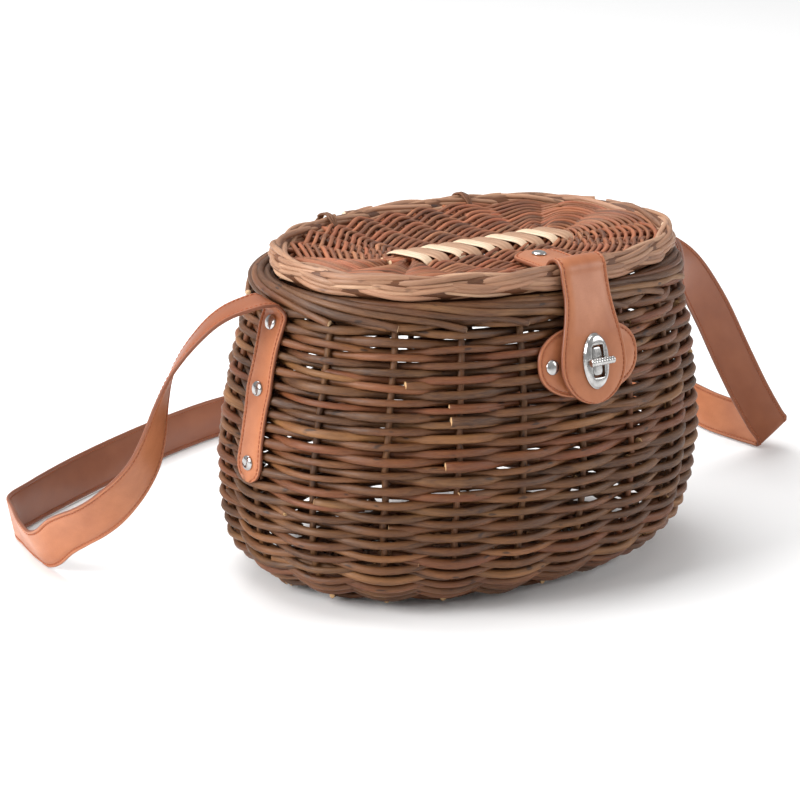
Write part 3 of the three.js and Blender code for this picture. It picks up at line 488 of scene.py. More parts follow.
height = RIM_HEIGHT + spread * np.sin(angle) - drop * 2.5
turned = np.stack([flat[..., 0] * np.cos(angle), flat[..., 1] * np.cos(angle), np.sin(angle)], -1)
radii = 2.7 * random.uniform(0.85, 1.12, (RIM_RODS, 1)) * (1.08 - 0.2 * s)
roll = rods("rim_roll", np.concatenate([place, height[..., None]], -1), turned, radii, "basket",
            rim_bark, 9)
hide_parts("basket_rim")


def core(name, length, width, middle, forward, size, flat, body, material):
    """The bundle inside a border: one thick closed-up rod round an oval."""
    share = np.linspace(0, 1, 161)
    place, normal = oval(length, width, angle_at(share))
    path = np.column_stack([place[:, 0], place[:, 1] - forward, np.full(161, middle)])[None]
    return rods(name, path, np.column_stack([normal, 0 * share])[None], size, body, material,
                10, flat)


core("rim_core", RIM_LENGTH, RIM_WIDTH, RIM_HEIGHT + 0.5, 0.0, 6.4, 1.2, "basket", rim_bark)

# ---------------------------------------------------------------- lid middle
# The lid is woven in pairs of thin reddish rods that twist round each stick, ring after ring,
# on three long sticks with five sticks across them. More sticks fan out at both ends.
LID_FORWARD = 6.0
BORDER_HALF_WIDTH, BORDER_HALF_HEIGHT = 6.5, 8.4
BORDER_LENGTH = RIM_LENGTH + RIM_RADIUS - 9 - BORDER_HALF_WIDTH
BORDER_WIDTH = RIM_WIDTH + RIM_RADIUS - 13.5 - BORDER_HALF_WIDTH
LID_HEIGHT = RIM_HEIGHT + math.sqrt((RIM_RADIUS + BORDER_HALF_HEIGHT + GAP) ** 2
                                    - (RIM_WIDTH - BORDER_WIDTH - LID_FORWARD) ** 2)
PANEL_TOP = LID_HEIGHT + 0.2
LID_ROWS, LID_PITCH, LID_END_PITCH = 14, 5.55, 4.5
SPINE_HALF = 78.0
CROSS_X = np.array([-55.0, -27, 1, 29, 57])
CROSS_SLANT = 0.17
FAN_ANGLES = np.radians([-62, -33, 0, 33, 62])
TWIST, SIDE_TWIST = 2.7, 0.75
EDGE_RISE, TAB_CLEAR = 6.0, 28.0
LID_ROD = 1.5
PER_STICK = 14
lid_bark = willow_material(
    "lid_willow_bark", (0.055, 0.013, 0.006), (0.26, 0.085, 0.034), (0.42, 0.1, 0.04),
    (0.56, 0.26, 0.125), (0.66, 0.46, 0.28), 0.55, 0.6, 0.5, 0.5)


def ease(part):
    """A smooth rise from 0 to 1, level at both ends: 3 part squared less 2 part cubed."""
    part = np.clip(part, 0, 1)
    return part ** 2 * (3 - 2 * part)


def edge_rise(x, y):
    """Rise of the weave from the lid's flat middle towards its border, except under the tab."""
    share = ((np.abs(x) / (BORDER_LENGTH - 5)) ** OVAL_POWER
             + (np.abs(y) / (BORDER_WIDTH - 5)) ** OVAL_POWER) ** (1 / OVAL_POWER)
    under_tab = np.exp(-((x - 2) / TAB_CLEAR) ** 4) * (y < 0)
    return EDGE_RISE * ease((share - 0.5) / 0.5) * (1 - under_tab)


# where each ring meets each stick, as an angle of the ring
scan = np.linspace(0, 2 * np.pi, 1441)[:-1]
crossings = []
for k in range(LID_ROWS):
    x, y = oval(SPINE_HALF + LID_END_PITCH * (k + 0.5), 7 + LID_PITCH * (k + 0.5), scan)[0].T
    meets = []
    for stick_x in CROSS_X:
        off = np.abs(x - stick_x + CROSS_SLANT * y)
        for side in (1, -1):
            meets.append(scan[np.argmin(np.where(side * y > 0, off, 1e9))])
    for end, middle in ((1, 0.0), (-1, np.pi)):
        heading = np.arctan2(y, x - end * 57.0)
        for fan in FAN_ANGLES:
            off = np.abs((heading - middle - fan + np.pi) % (2 * np.pi) - np.pi)
            meets.append(scan[np.argmin(off)])
    crossings.append(np.sort(meets))
crossings = np.array(crossings)
sticks = crossings.shape[1]
knots = np.concatenate([crossings - 2 * np.pi, crossings, crossings + 2 * np.pi], 1)
row = np.repeat(np.arange(LID_ROWS), 4)
strand = np.tile([0, 1, 0, 1], LID_ROWS)
half = np.tile([0, 0, 1, 1], LID_ROWS)
first = np.repeat(random.uniform(0, sticks / 2, LID_ROWS), 4) + half * sticks / 2 + strand * 3.3
steps = int(PER_STICK * sticks / 2 * 1.04)
place = first[:, None] + np.linspace(0, sticks / 2 * 1.04, steps)
index = np.arange(3 * sticks) - sticks
angle = np.array([np.interp(p, index, knots[r]) for p, r in zip(place, row)])
ring = row[:, None] + 0.5
point, flat = oval(SPINE_HALF + LID_END_PITCH * ring, 7 + LID_PITCH * ring, angle)
sign = np.where(strand, 1, -1)[:, None]
s = np.linspace(0, 1, steps)
dip = 3.2 * (np.exp(-(s / 0.02) ** 2) + np.exp(-((1 - s) / 0.02) ** 2))
lift = PANEL_TOP - LID_ROD - TWIST + sign * TWIST * np.cos(np.pi * place) - dip
gap = np.hypot(flat[..., 0] * LID_END_PITCH, flat[..., 1] * LID_PITCH)
aside = -sign * SIDE_TWIST * gap * np.sin(np.pi * place) + wander(len(row), steps, 0.25)
point = point + aside[..., None] * flat
lift = lift + edge_rise(point[..., 0], point[..., 1])
path = np.concatenate([point - (0, LID_FORWARD), lift[..., None]], -1)
radii = LID_ROD * random.uniform(0.86, 1.14, (len(row), 1)) * (1 + wander(len(row), steps, 0.05, 7))
panel = rods("lid_weave", path, UP, radii, "lid", lid_bark, 6)
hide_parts("lid_panel")

STICK_STATIONS, LID_STICK_RADIUS = 14, 1.9
lid_stick = PANEL_TOP - LID_ROD - TWIST
outer_length, outer_width = BORDER_LENGTH - 4, BORDER_WIDTH - 4
y = np.linspace(-1, 1, STICK_STATIONS) * (outer_width - 3)
cross = [np.stack([x - CROSS_SLANT * y, y], -1) for x in CROSS_X]
for end in (1, -1):
    for fan in FAN_ANGLES:
        heading = np.array([end * math.cos(fan), math.sin(fan)])
        far = np.linspace(0, 150, 600)[:, None] * heading + (end * 57.0, 0)
        inside = (np.abs(far[:, 0] / outer_length) ** OVAL_POWER
                  + np.abs(far[:, 1] / outer_width) ** OVAL_POWER) < 1
        cross.append(np.linspace(far[0], far[inside][-1], STICK_STATIONS))
for lane in (-4.2, 0.0, 4.2):
    cross.append(np.stack([np.linspace(-SPINE_HALF, SPINE_HALF, STICK_STATIONS),
                           np.full(STICK_STATIONS, lane)], -1))
cross = np.array(cross) - (0, LID_FORWARD)
cross = np.concatenate([cross, np.full(cross.shape[:2] + (1,), lid_stick)], -1)
cross[..., 2] += edge_rise(cross[..., 0], cross[..., 1] + LID_FORWARD)
cross[-3:, :, 2] += 2.0
rods("lid_sticks", cross, UP, LID_STICK_RADIUS, "lid", lid_bark)

# ---------------------------------------------------------------- lid border
# A thick plait of peeled buff rods finishes the lid's edge: three strands of three rods lie
# over and under each other, and their ends are cut off short between the strands.
peeled = willow_material(
    "peeled_buff_willow", (0.12, 0.045, 0.022), (0.36, 0.18, 0.1), (0.44, 0.215, 0.125),
    (0.64, 0.41, 0.26), (0.8, 0.62, 0.44), 0.4, 0.45, 0.5, 0.35)
PLAIT_TURNS = 5
STRAND_RISE, STRAND_DEPTH, ROD_STEP = 3.4, 3.0, 3.3
BUFF_RADIUS = 2.0
TRACK_PARTS, PART_STATIONS = 3, 84
track = np.repeat(np.arange(9), TRACK_PARTS)
part = np.tile(np.arange(TRACK_PARTS), 9)
strand, lane = track // 3, track % 3 - 1
s = np.linspace(0, 1, PART_STATIONS)
first = part / TRACK_PARTS + strand * 0.13 + lane * 0.035 + random.uniform(-0.03, 0.03, len(track))
share = first[:, None] + (1 / TRACK_PARTS + 0.03) * s
phase = 2 * np.pi * (PLAIT_TURNS * share + strand[:, None] / 3)
rise = STRAND_RISE * np.sin(phase) + ROD_STEP * lane[:, None] * (0.9 + 0.1 * np.cos(phase))
rise = np.clip(rise + wander(len(track), PART_STATIONS, 0.35), -6.5, 6.5)
# the plait lies on a round core: rods near the top and bottom lie further in
depth = STRAND_DEPTH * np.sin(2 * phase) + wander(len(track), PART_STATIONS, 0.25)
tuck = np.exp(-(s / 0.04) ** 2) + np.exp(-((1 - s) / 0.04) ** 2)


def border_paths(rise, depth, share, outer):
    """Rods on the outer or inner half of the border's round section, by their height on it."""
    round_out = np.sqrt(np.clip(1 - (rise / 8.2) ** 2, 0.02, 1)) * 2.4
    out = (round_out + depth * 0.75 - 1.2 * tuck) * (1 if outer else -1)
    place, flat = oval(BORDER_LENGTH, BORDER_WIDTH, angle_at(share), out)
    path = np.stack([place[..., 0], place[..., 1] - LID_FORWARD, LID_HEIGHT + rise], -1)
    side = np.stack([flat[..., 0], flat[..., 1], 0 * rise], -1) * (1 if outer else -1)
    return path, side


radii = BUFF_RADIUS * random.uniform(0.8, 1.12, (len(track), 1)) * (1.08 - 0.2 * s)
path, side = border_paths(rise, depth, share, True)
plait = rods("lid_border_plait", path, side, radii, "lid", peeled, 8)
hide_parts("lid_border")
core("lid_border_core", BORDER_LENGTH, BORDER_WIDTH, LID_HEIGHT - 0.6, LID_FORWARD, 4.2, 1.75,
     "lid", rim_bark)
core("lid_border_tails", BORDER_LENGTH - 6, BORDER_WIDTH - 6, LID_HEIGHT - 8.0, LID_FORWARD, 3.0,
     1.4, "lid", rim_bark)
path, side = border_paths(-rise, depth, share + 0.045, False)
rods("lid_border_inner_plait", path, side, radii, "lid", peeled, 8)

# ---------------------------------------------------------------- binding strips of the lid
# Five pairs of strips of split willow, one white and one beige, flat and soaked to bend, bind
# the middle of the lid where the sticks cross. Each is pulled into the weave at its two ends.
strip_finish, tree, shader = new_material("split_white_willow")
grain, is_beige = attribute(tree, "grain"), split(tree, attribute(tree, "edge"))[2]
white = mix(tree, noise(tree, grain, (60, 1400, 1400)), (0.8, 0.65, 0.48, 1),
            (0.6, 0.4, 0.24, 1))
beige = mix(tree, noise(tree, grain, (50, 900, 900)), (0.52, 0.32, 0.2, 1),
            (0.36, 0.19, 0.11, 1))
tree.links.new(mix(tree, is_beige, white, beige), shader.inputs["Base Color"])
roughen(tree, shader, noise(tree, grain, (60, 1600, 1600)), 0.3, 0.0003)
shader.inputs["Roughness"].default_value = 0.5
STRIP_STATIONS = 26
STRIP_LENGTH, STRIP_TURN = 34.0, math.radians(-70)


def band(name, middles, across, halves, section, body, material, mark=0.0):
    """A flexible band: at each station the section's points (share of the half width less a
    fixed distance from the edge, and height over the band's middle) lie across it. grain runs
    along, across and up in the band. edge holds the distance from the edge, 1 on the upper
    face, and the band's mark."""
    along = unit(np.gradient(middles, axis=0))
    across = unit(across)
    normals = unit(np.cross(across, along))
    share, inset, height = section.T
    aside = share * (halves[:, None] - inset)
    aside = np.where(halves[:, None] > inset, aside, 0)
    rings = (middles[:, None] + aside[..., None] * across[:, None]
             + (height * np.minimum(1, halves[:, None] / 2))[..., None] * normals[:, None])
    steps, sides = rings.shape[:2]
    grain = np.stack([np.broadcast_to(distances(middles)[:, None], aside.shape), aside,
                      np.broadcast_to(height, aside.shape)], -1) * MM
    edge = np.stack([(halves[:, None] - np.abs(aside)) * MM,
                     np.broadcast_to(height > 0, aside.shape).astype(float),
                     np.full(aside.shape, mark)], -1)
    points = np.concatenate([rings.reshape(-1, 3), rings[[0, -1]].mean(1)])
    grain = np.concatenate([grain.reshape(-1, 3), grain[[0, -1]].mean(1)])
    edge = np.concatenate([edge.reshape(-1, 3), edge[[0, -1], 0]])
    return build(name, points, skin(1, steps, sides, True), body, material,
                 {"grain": grain, "edge": edge})


# the strip's section, from one edge over its upper face to the other edge and back below
strip_half = np.array([[-1, 0.0, 0.0], [-1, 0.35, 0.45], [-1, 1.5, 0.62], [-0.45, 0.0, 0.75],
                       [0.45, 0.0, 0.75], [1, 1.5, 0.62], [1, 0.35, 0.45], [1, 0.0, 0.0],
                       [1, 0.4, -0.5], [-1, 0.4, -0.5]])
s = np.linspace(-1, 1, STRIP_STATIONS)
for i, x in enumerate(CROSS_X):
    # a white strip, and beside it a beige one that lies a little lower
    for kind, shift, half, lower in (("white", -6.5, 5.6, 0.0), ("beige", 6.8, 7.2, 0.5)):
        heading = STRIP_TURN + random.uniform(-0.05, 0.05)
        direction = np.array([math.cos(heading), math.sin(heading), 0.0])
        middle = (np.array([x + shift + 1, -LID_FORWARD - 2, 0.0])
                  + direction * (s * STRIP_LENGTH / 2)[:, None])
        middle[:, 2] = PANEL_TOP + 1.5 - lower - 4.6 * np.abs(s) ** 5
        side = np.cross([0, 0, 1.0], direction)
        strip = band(f"lid_strip_{kind}_{i + 1}", middle,
                     np.broadcast_to(-side, middle.shape).copy(), half - 1.4 * np.abs(s) ** 3,
                     strip_half, "lid", strip_finish, float(kind == "beige"))
        if kind == "white":
            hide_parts(f"lid_wrap_{i + 1}")

# ---------------------------------------------------------------- hinges
# Two bindings of thin willow hold the lid to the back of the rim and let it turn: each goes
# three times round the lid's border and the rim.
HINGE_SIDE, LOOP_SLACK, TURNS = 60.0, 1.4, 3
LOOP_WIDTH, LOOP_ROD, LOOP_WAVE = 4.8, 0.9, 0.35
LID_TURN_RADIUS, RIM_TURN_RADIUS = BORDER_HALF_HEIGHT + LOOP_SLACK, RIM_RADIUS + LOOP_SLACK


def width_at(length, width, x):
    """Half width of an oval at a distance x from its middle."""
    return width * (1 - np.abs(x / length) ** OVAL_POWER) ** (1 / OVAL_POWER)


def arc(y, height, radius, angles):
    """Points of an arc across the basket: y and height."""
    return np.stack([y + radius * np.cos(angles), height + radius * np.sin(angles)], -1)


hinge_y = width_at(BORDER_LENGTH, BORDER_WIDTH, HINGE_SIDE) - LID_FORWARD
rim_y = width_at(RIM_LENGTH, RIM_WIDTH, HINGE_SIDE)
heading = math.atan2(RIM_HEIGHT - LID_HEIGHT, rim_y - hinge_y)
distance = math.hypot(rim_y - hinge_y, RIM_HEIGHT - LID_HEIGHT)
spread = math.acos((LID_TURN_RADIUS - RIM_TURN_RADIUS) / distance)
lid_arc = np.linspace(heading + spread, heading + 2 * np.pi - spread, 20)
rim_arc = np.linspace(heading - spread, heading + spread, 20)
outline = np.concatenate([arc(hinge_y, LID_HEIGHT, LID_TURN_RADIUS, lid_arc),
                          arc(rim_y, RIM_HEIGHT, RIM_TURN_RADIUS, rim_arc)])
winding = np.concatenate([outline] * TURNS + [outline[:1]])
for name, x in (("left", -HINGE_SIDE), ("right", HINGE_SIDE)):
    run = x + LOOP_WIDTH * np.linspace(-0.5, 0.5, len(winding))
    run = run + LOOP_WAVE * np.sin(np.arange(len(winding)) * 0.9 + x)
    path = np.concatenate([run[:, None], winding], -1)[None]
    centre = np.array([0, (hinge_y + rim_y) / 2, (LID_HEIGHT + RIM_HEIGHT) / 2])
    normal = unit((path - centre) * (0, 1, 1))
    binding = rods(f"hinge_binding_{name}", path, normal, LOOP_ROD, "basket", rim_bark,
                   7, 1.1)
    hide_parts(f"hinge_loop_{name}")

# ---------------------------------------------------------------- shoulder strap
# One long strap of tan leather, two layers glued and stitched, with a raised bead along both
# edges. It is riveted down both ends of the basket and lies round behind it on the ground.
LEATHER = 2.6
STRAP_HALF, STRAP_END_HALF, STRAP_END_TIP, STRAP_END_TOP = 15.0, 12.5, 82.0, 193.5
# the strap's free run: place as shares of the half length, half width and height of the
# basket, and the direction across it from its back edge to its front edge
STRAP_RUN = np.array([
    [-0.936, 0.01, 0.953, -0.2, -0.98, 0.03], [-0.99, 0.03, 0.957, -0.44, -0.91, -0.03],
    [-1.12, 0.13, 0.895, -0.5, -0.88, 0.05], [-1.255, 0.22, 0.725, -0.6, -0.71, 0.15],
    [-1.34, 0.25, 0.46, -0.88, -0.19, 0.27], [-1.42, 0.44, 0.278, -0.78, 0.26, 0.55],
    [-1.455, 0.775, 0.142, -0.51, 0.36, 0.78], [-1.435, 1.08, 0, -0.39, 0.28, 0.89],
    [-1.38, 1.325, 0, -0.26, 0.16, 0.96], [-1.33, 1.485, 0, -0.16, 0.13, 0.98],
    [-1.19, 1.605, 0, -0.1, 0.15, 0.98], [-1.0, 1.745, 0, -0.13, 0.26, 0.95],
    [-0.78, 1.895, 0, -0.16, 0.37, 0.92], [-0.525, 2.045, 0, -0.12, 0.29, 0.95],
    [-0.25, 2.19, 0, -0.06, 0.15, 0.99], [0.04, 2.31, 0, -0.03, 0.09, 1],
    [0.32, 2.37, 0, 0, -0.14, 0.99], [0.585, 2.31, 0, -0.07, -0.52, 0.82],
    [0.845, 2.19, 0, -0.24, -0.84, 0.46], [1.11, 2.05, 0, -0.35, -0.92, -0.04],
    [1.39, 1.89, 0, -0.22, -0.73, -0.56], [1.66, 1.74, 0, -0.08, -0.33, -0.91],
    [1.89, 1.56, 0, 0.03, -0.02, -1], [1.995, 1.25, 0, -0.02, 0, -1],
    [1.95, 0.86, 0, -0.27, 0.05, -0.95], [1.955, 0.625, 0, -0.4, 0.1, -0.91],
    [1.98, 0.4, 0, -0.58, 0.25, -0.77], [1.983, 0.365, 0.07, -0.63, 0.36, -0.68],
    [1.955, 0.38, 0.104, -0.69, 0.5, -0.52], [1.83, 0.37, 0.237, -0.7, 0.53, -0.5],
    [1.67, 0.33, 0.41, -0.74, 0.46, -0.53], [1.505, 0.27, 0.582, -0.75, 0.32, -0.61],
    [1.325, 0.2, 0.743, -0.61, -0.02, -0.66], [1.14, 0.1, 0.88, -0.12, -0.69, -0.47],
    [1.02, 0.04, 0.947, 0.2, -0.95, -0.1], [0.945, 0.01, 0.95, 0.18, -0.98, 0.02]])
hide, taken, given = new_group("tan_leather_hide", [
    ("Tan", "NodeSocketColor", (0.47, 0.175, 0.078, 1)),
    ("Shade", "NodeSocketColor", (0.36, 0.12, 0.05, 1)),
    # painted shade: the back face is the same leather as the front, given this darker, redder
    # colour
    ("Back_Painted_Shade", "NodeSocketColor", (0.25, 0.07, 0.024, 1)),
    ("Edge", "NodeSocketColor", (0.17, 0.055, 0.028, 1)),
], [("Color", "NodeSocketColor"), ("Roughness", "NodeSocketFloat"), ("Height", "NodeSocketFloat")])
grain, edge = attribute(hide, "grain"), split(hide, attribute(hide, "edge"))
clouds = noise(hide, grain, (26, 40, 40), 3.0, 0.35, 0.7)
pores = noise(hide, grain, (1700, 1700, 1700), 2.0, 0.35, 0.7)
creases = noise(hide, grain, (700, 160, 160), 3.0, 0.55, 0.75)
face = mix(hide, clouds, taken["Tan"], taken["Shade"])
face = mix(hide, math_node(hide, "MULTIPLY", creases, 0.25), face, taken["Shade"])
face = mix(hide, math_node(hide, "MULTIPLY", pores, 0.12), face, taken["Edge"])
face = mix(hide, step_node(hide, edge[0], 0.0021, 0.0028, 0.28, 0.0), face, taken["Shade"])
# the back face: the same tan leather in a darker, redder colour, which is painted shade
back = mix(hide, math_node(hide, "MULTIPLY", pores, 0.15), taken["Back_Painted_Shade"], taken["Edge"])
back = mix(hide, math_node(hide, "MULTIPLY", clouds, 0.5), back, taken["Shade"])
tone = mix(hide, edge[1], back, face)
tone = mix(hide, step_node(hide, edge[0], 0.0002, 0.0007, 0.85, 0.0), tone, taken["Edge"])
hide.links.new(tone, given["Color"])
hide.links.new(step_node(hide, math_node(hide, "ADD", math_node(hide, "MULTIPLY", clouds, 0.5),
                                         math_node(hide, "MULTIPLY", pores, 0.5)),
                         0.0, 1.0, 0.3, 0.46), given["Roughness"])
hide.links.new(math_node(hide, "ADD", math_node(hide, "MULTIPLY", pores, 0.5),
                         math_node(hide, "MULTIPLY", creases, 0.5)), given["Height"])

strap_leather, tree, shader = new_material("strap_leather")
made = node(tree, "ShaderNodeGroup", node_tree=hide)
tree.links.new(made.outputs["Color"], shader.inputs["Base Color"])
tree.links.new(made.outputs["Roughness"], shader.inputs["Roughness"])
roughen(tree, shader, made.outputs["Height"], 0.2, 0.0002)
shader.inputs["Coat Weight"].default_value = 0.08
shader.inputs["Specular IOR Level"].default_value = 0.35
shader.inputs["Coat Roughness"].default_value = 0.3

thread, tree, shader = new_material("stitching_thread")
twist = noise(tree, attribute(tree, "grain"), (900, 3000, 3000))
tree.links.new(mix(tree, twist, (0.3, 0.07, 0.025, 1), (0.42, 0.13, 0.05, 1)),
               shader.inputs["Base Color"])
shader.inputs["Roughness"].default_value = 0.7

# the leather's section from one edge to the other over the finished face, and back below
half_section = np.array([
    [1, 0.0, 0.0], [1, 0.1, 0.62], [1, 0.55, 1.22], [1, 1.1, 1.42], [1, 1.7, 1.32],
    [1, 2.2, 0.92], [1, 2.6, 0.82], [1, 3.0, 0.92], [1, 3.8, 1.26], [0.55, 0.0, 1.4],
    [0.2, 0.0, 1.42]])
mirror = half_section[::-1] * (-1, 1, 1)
back_section = np.array([
    [-1, 0.1, -0.62], [-1, 0.55, -1.15], [-1, 1.7, -1.25], [-1, 2.2, -0.95], [-1, 2.6, -0.88],
    [-1, 3.0, -0.95], [-1, 3.8, -1.2], [0, 0.0, -1.3], [1, 3.8, -1.2], [1, 3.0, -0.95],
    [1, 2.6, -0.88], [1, 2.2, -0.95], [1, 1.7, -1.25], [1, 0.55, -1.15], [1, 0.1, -0.62]])
leather_section = np.concatenate([half_section, mirror, back_section])[::-1]
STITCH_LINE, STITCH_PITCH, STITCH_LENGTH = 2.6, 3.1, 2.3


def stitches(name, line, normals, height, body):
    """Short thread bars along a line of points, one at every pitch, a little above the groove."""
    run = distances(line)
    middles = np.arange(STITCH_PITCH, run[-1] - STITCH_PITCH, STITCH_PITCH)
    at = middles[:, None] + STITCH_LENGTH * np.linspace(-0.5, 0.5, 5)
    place = np.stack([np.interp(at, run, line[:, k]) for k in range(3)], -1)
    normal = unit(np.stack([np.interp(at, run, normals[:, k]) for k in range(3)], -1))
    arch = height + 0.28 * np.cos(np.linspace(-1, 1, 5) * 1.4)
    place = place + arch[:, None] * normal
    size = np.broadcast_to(0.42 * np.array([0.55, 0.95, 1, 0.95, 0.55]), at.shape)
    return rods(name, place, normal, size, body, thread, 5)


def end_points(height, side):
    """Middle line of a riveted end of the strap, just outside the wall, straight above it."""
    on = np.minimum(height, WALL_TOP - 1)
    slope = (belly(on + 0.9)[0] - belly(on - 0.9)[0]) / 1.8
    x = belly(on)[0] + slope * (height - on)
    size = np.hypot(1, slope)
    out = GAP + LEATHER / 2
    return np.stack([side * (x + out / size), 0 * x, height - slope * out / size], -1)


tip = STRAP_END_TIP + STRAP_END_HALF * np.array([0.0, 0.02, 0.06, 0.12, 0.22, 0.35, 0.6, 1.0])
end_heights = np.concatenate([tip, np.linspace(tip[-1], STRAP_END_TOP, 15)[1:]])
into_tip = np.clip((end_heights - STRAP_END_TIP) / STRAP_END_HALF, 0, 1)
end_halves = STRAP_END_HALF * np.sqrt(1 - (1 - into_tip) ** 2)
# the strap is a little wider round each rivet than between them
RIVET_HEIGHTS = (187.0, 144.0, 95.0)
near = sum(np.exp(-((end_heights - height) / 9) ** 2) for height in RIVET_HEIGHTS)
end_halves = np.maximum(end_halves - 1.3 * (1 - np.minimum(near, 1)) * (end_heights > tip[-1]), 0.3)
facing = np.broadcast_to((0.0, -1.0, 0.0), (len(end_heights), 3))
rows = np.arange(len(STRAP_RUN))
at = np.linspace(0, len(STRAP_RUN) - 1, 3 * (len(STRAP_RUN) - 1) + 1)
free = through(rows, STRAP_RUN * (HALF_LENGTH, HALF_WIDTH, RIM_TOP, 1, 1, 1), at)
free_across = unit(free[:, 3:])
lean = np.sqrt(np.clip(1 - free_across[:, 2] ** 2, 0, 1))
free[:, 2] = np.maximum(free[:, 2], np.abs(free_across[:, 2]) * STRAP_HALF + lean * LEATHER / 2)
from_end = (np.minimum(at, len(STRAP_RUN) - 1 - at) + 1) / 3
free_halves = STRAP_END_HALF + (STRAP_HALF - STRAP_END_HALF) * ease(from_end)
stations = np.concatenate([
    np.column_stack([end_points(end_heights, -1), facing, end_halves]),
    np.column_stack([free[:, :3], free_across, free_halves]),
    np.column_stack([end_points(end_heights, 1), facing, end_halves])[::-1]])
run = distances(stations[:, :3])
keep = np.concatenate([[True], np.diff(run) > 0.05])
run, stations = run[keep], stations[keep]
tip_run = run[:8]
even = np.concatenate([tip_run, np.arange(tip_run[-1] + 2, run[-1] - tip_run[-1], 3.0),
                       run[-1] - tip_run[::-1]])
smooth = through(run, stations, even)
smooth[:, 6] = np.maximum(np.interp(even, run, stations[:, 6]), 0.3)
middles, strap_across, strap_halves = smooth[:, :3], unit(smooth[:, 3:6]), smooth[:, 6]
strap = band("strap_leather_band", middles, strap_across, strap_halves, leather_section, "basket",
             strap_leather)
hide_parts("shoulder_strap")
normals = unit(np.cross(strap_across, unit(np.gradient(middles, axis=0))))
sewn = strap_halves > 6
for name, side in (("front", 1), ("back", -1)):
    line = middles + side * (strap_halves - STITCH_LINE)[:, None] * strap_across
    stitches(f"strap_stitches_{name}", line[sewn], normals[sewn], 0.9, "basket")
    stitches(f"strap_under_stitches_{name}", line[sewn], -normals[sewn], 0.95, "basket")

# ---------------------------------------------------------------- rivets
# Bright domed steel rivets go through the leather and the wall and are closed over flat
# burrs inside: three at each end of the strap, two on the lid and one on the patch.
steel, tree, shader = new_material("bright_plated_steel")
place = node(tree, "ShaderNodeTexCoord").outputs["Object"]
tree.links.new(mix(tree, noise(tree, place, (160, 160, 160), 3.0), (0.4, 0.39, 0.38, 1),
                   (0.58, 0.57, 0.56, 1)), shader.inputs["Base Color"])
tree.links.new(step_node(tree, noise(tree, place, (420, 420, 420), 4.0), 0, 1, 0.12, 0.27),
               shader.inputs["Roughness"])
roughen(tree, shader, noise(tree, place, (900, 900, 900), 2.0), 0.06, 0.0001)
shader.inputs["Metallic"].default_value = 1.0
RIVET_RADIUS, RIVET_DOME, RIVET_LIP, SHANK_RADIUS = 5.0, 2.2, 0.45, 1.9
BURR_RADIUS, BURR_THICKNESS, BURR_GAP = 3.6, 0.8, 0.8
ROUND = 40


def turned(name, profile, seats, body):
    """Turned pieces: the profile's radius and height go round the third axis of each seat,
    a frame of an origin and three directions."""
    profile = np.asarray(profile, float)
    angle = 2 * np.pi * np.arange(ROUND) / ROUND
    radius, height = profile[1:-1].T
    local = np.stack(np.broadcast_arrays(
        radius[:, None] * np.cos(angle), radius[:, None] * np.sin(angle), height[:, None]), -1)
    local = local.reshape(-1, 3)
    local = np.concatenate([local, [[0, 0, profile[0, 1]], [0, 0, profile[-1, 1]]]])
    seats = np.asarray(seats, float)
    points = seats[:, None, 0] + np.einsum("pk,skd->spd", local, seats[:, 1:])
    points = np.concatenate([points[:, :-2].reshape(-1, 3), points[:, -2:].reshape(-1, 3)])
    return build(name, points, skin(len(seats), len(radius), ROUND), body, steel)


def rivet_profile(leather_top, wall):
    """Burr, shank and domed head with a thin rolled edge, from the inside out."""
    seat, burr = leather_top + GAP, -wall - BURR_GAP
    dome = np.linspace(0, np.pi / 2, 12)
    head = np.stack([RIVET_RADIUS * np.cos(dome),
                     seat + RIVET_LIP + (RIVET_DOME - RIVET_LIP) * np.sin(dome) ** 1.1], -1)
    return np.concatenate([[[0, burr - BURR_THICKNESS], [BURR_RADIUS - 0.2, burr - BURR_THICKNESS],
                            [BURR_RADIUS, burr - BURR_THICKNESS + 0.2], [BURR_RADIUS, burr],
                            [SHANK_RADIUS, burr], [SHANK_RADIUS, seat], [RIVET_RADIUS - 0.3, seat],
                            [RIVET_RADIUS, seat + 0.2]], head])


def seat_on(point, normal):
    """A seat whose third direction is the normal."""
    side = unit(np.cross([0, 1.0, 0.3], normal))
    return [point, side, np.cross(normal, side), normal]


def front_point(x, height):
    """Point of the basket's front at a distance from the middle and a height, and its normal."""
    slope_x = (width_at(*belly(height), x + 1) - width_at(*belly(height), x - 1)) / 2
    slope_z = (width_at(*belly(height + 1), x) - width_at(*belly(height - 1), x)) / 2
    normal = unit(np.stack([-slope_x, -np.ones_like(slope_x), -slope_z], -1))
    return np.stack([x, -width_at(*belly(height), x), height], -1), normal


seats = []
for side in (-1, 1):
    for height in RIVET_HEIGHTS:
        slope = (belly(height + 0.9)[0] - belly(height - 0.9)[0]) / 1.8
        normal = unit(np.array([side, 0, -slope]))
        seats.append(seat_on(np.array([side * belly(height)[0], 0, height]), normal))
strap_rivets = turned("strap_rivets", rivet_profile(LEATHER + GAP, WALL), seats, "basket")
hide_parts(*[f"strap_rivet_{side}_{i}" for side in ("left", "right")
                            for i in (1, 2, 3)])

# ---------------------------------------------------------------- clasp patch
# A patch of the same leather is riveted on the basket's front under the lock. It follows the
# curve of the wall and is stitched round its edge.
LOCK_X, LOCK_HEIGHT = 2.0, WALL_TOP - 25
PATCH_LENGTH, PATCH_HEIGHT, PATCH_MARGIN, PATCH_SIDE = 43.5, 23.5, 1.0, 1.5
PATCH_RIVET_SIDE = -32.0
patch_middle = np.array([LOCK_X + PATCH_SIDE, WALL_TOP - PATCH_MARGIN - PATCH_HEIGHT])
ANGLES = 120
angle = 2 * np.pi * np.arange(ANGLES) / ANGLES


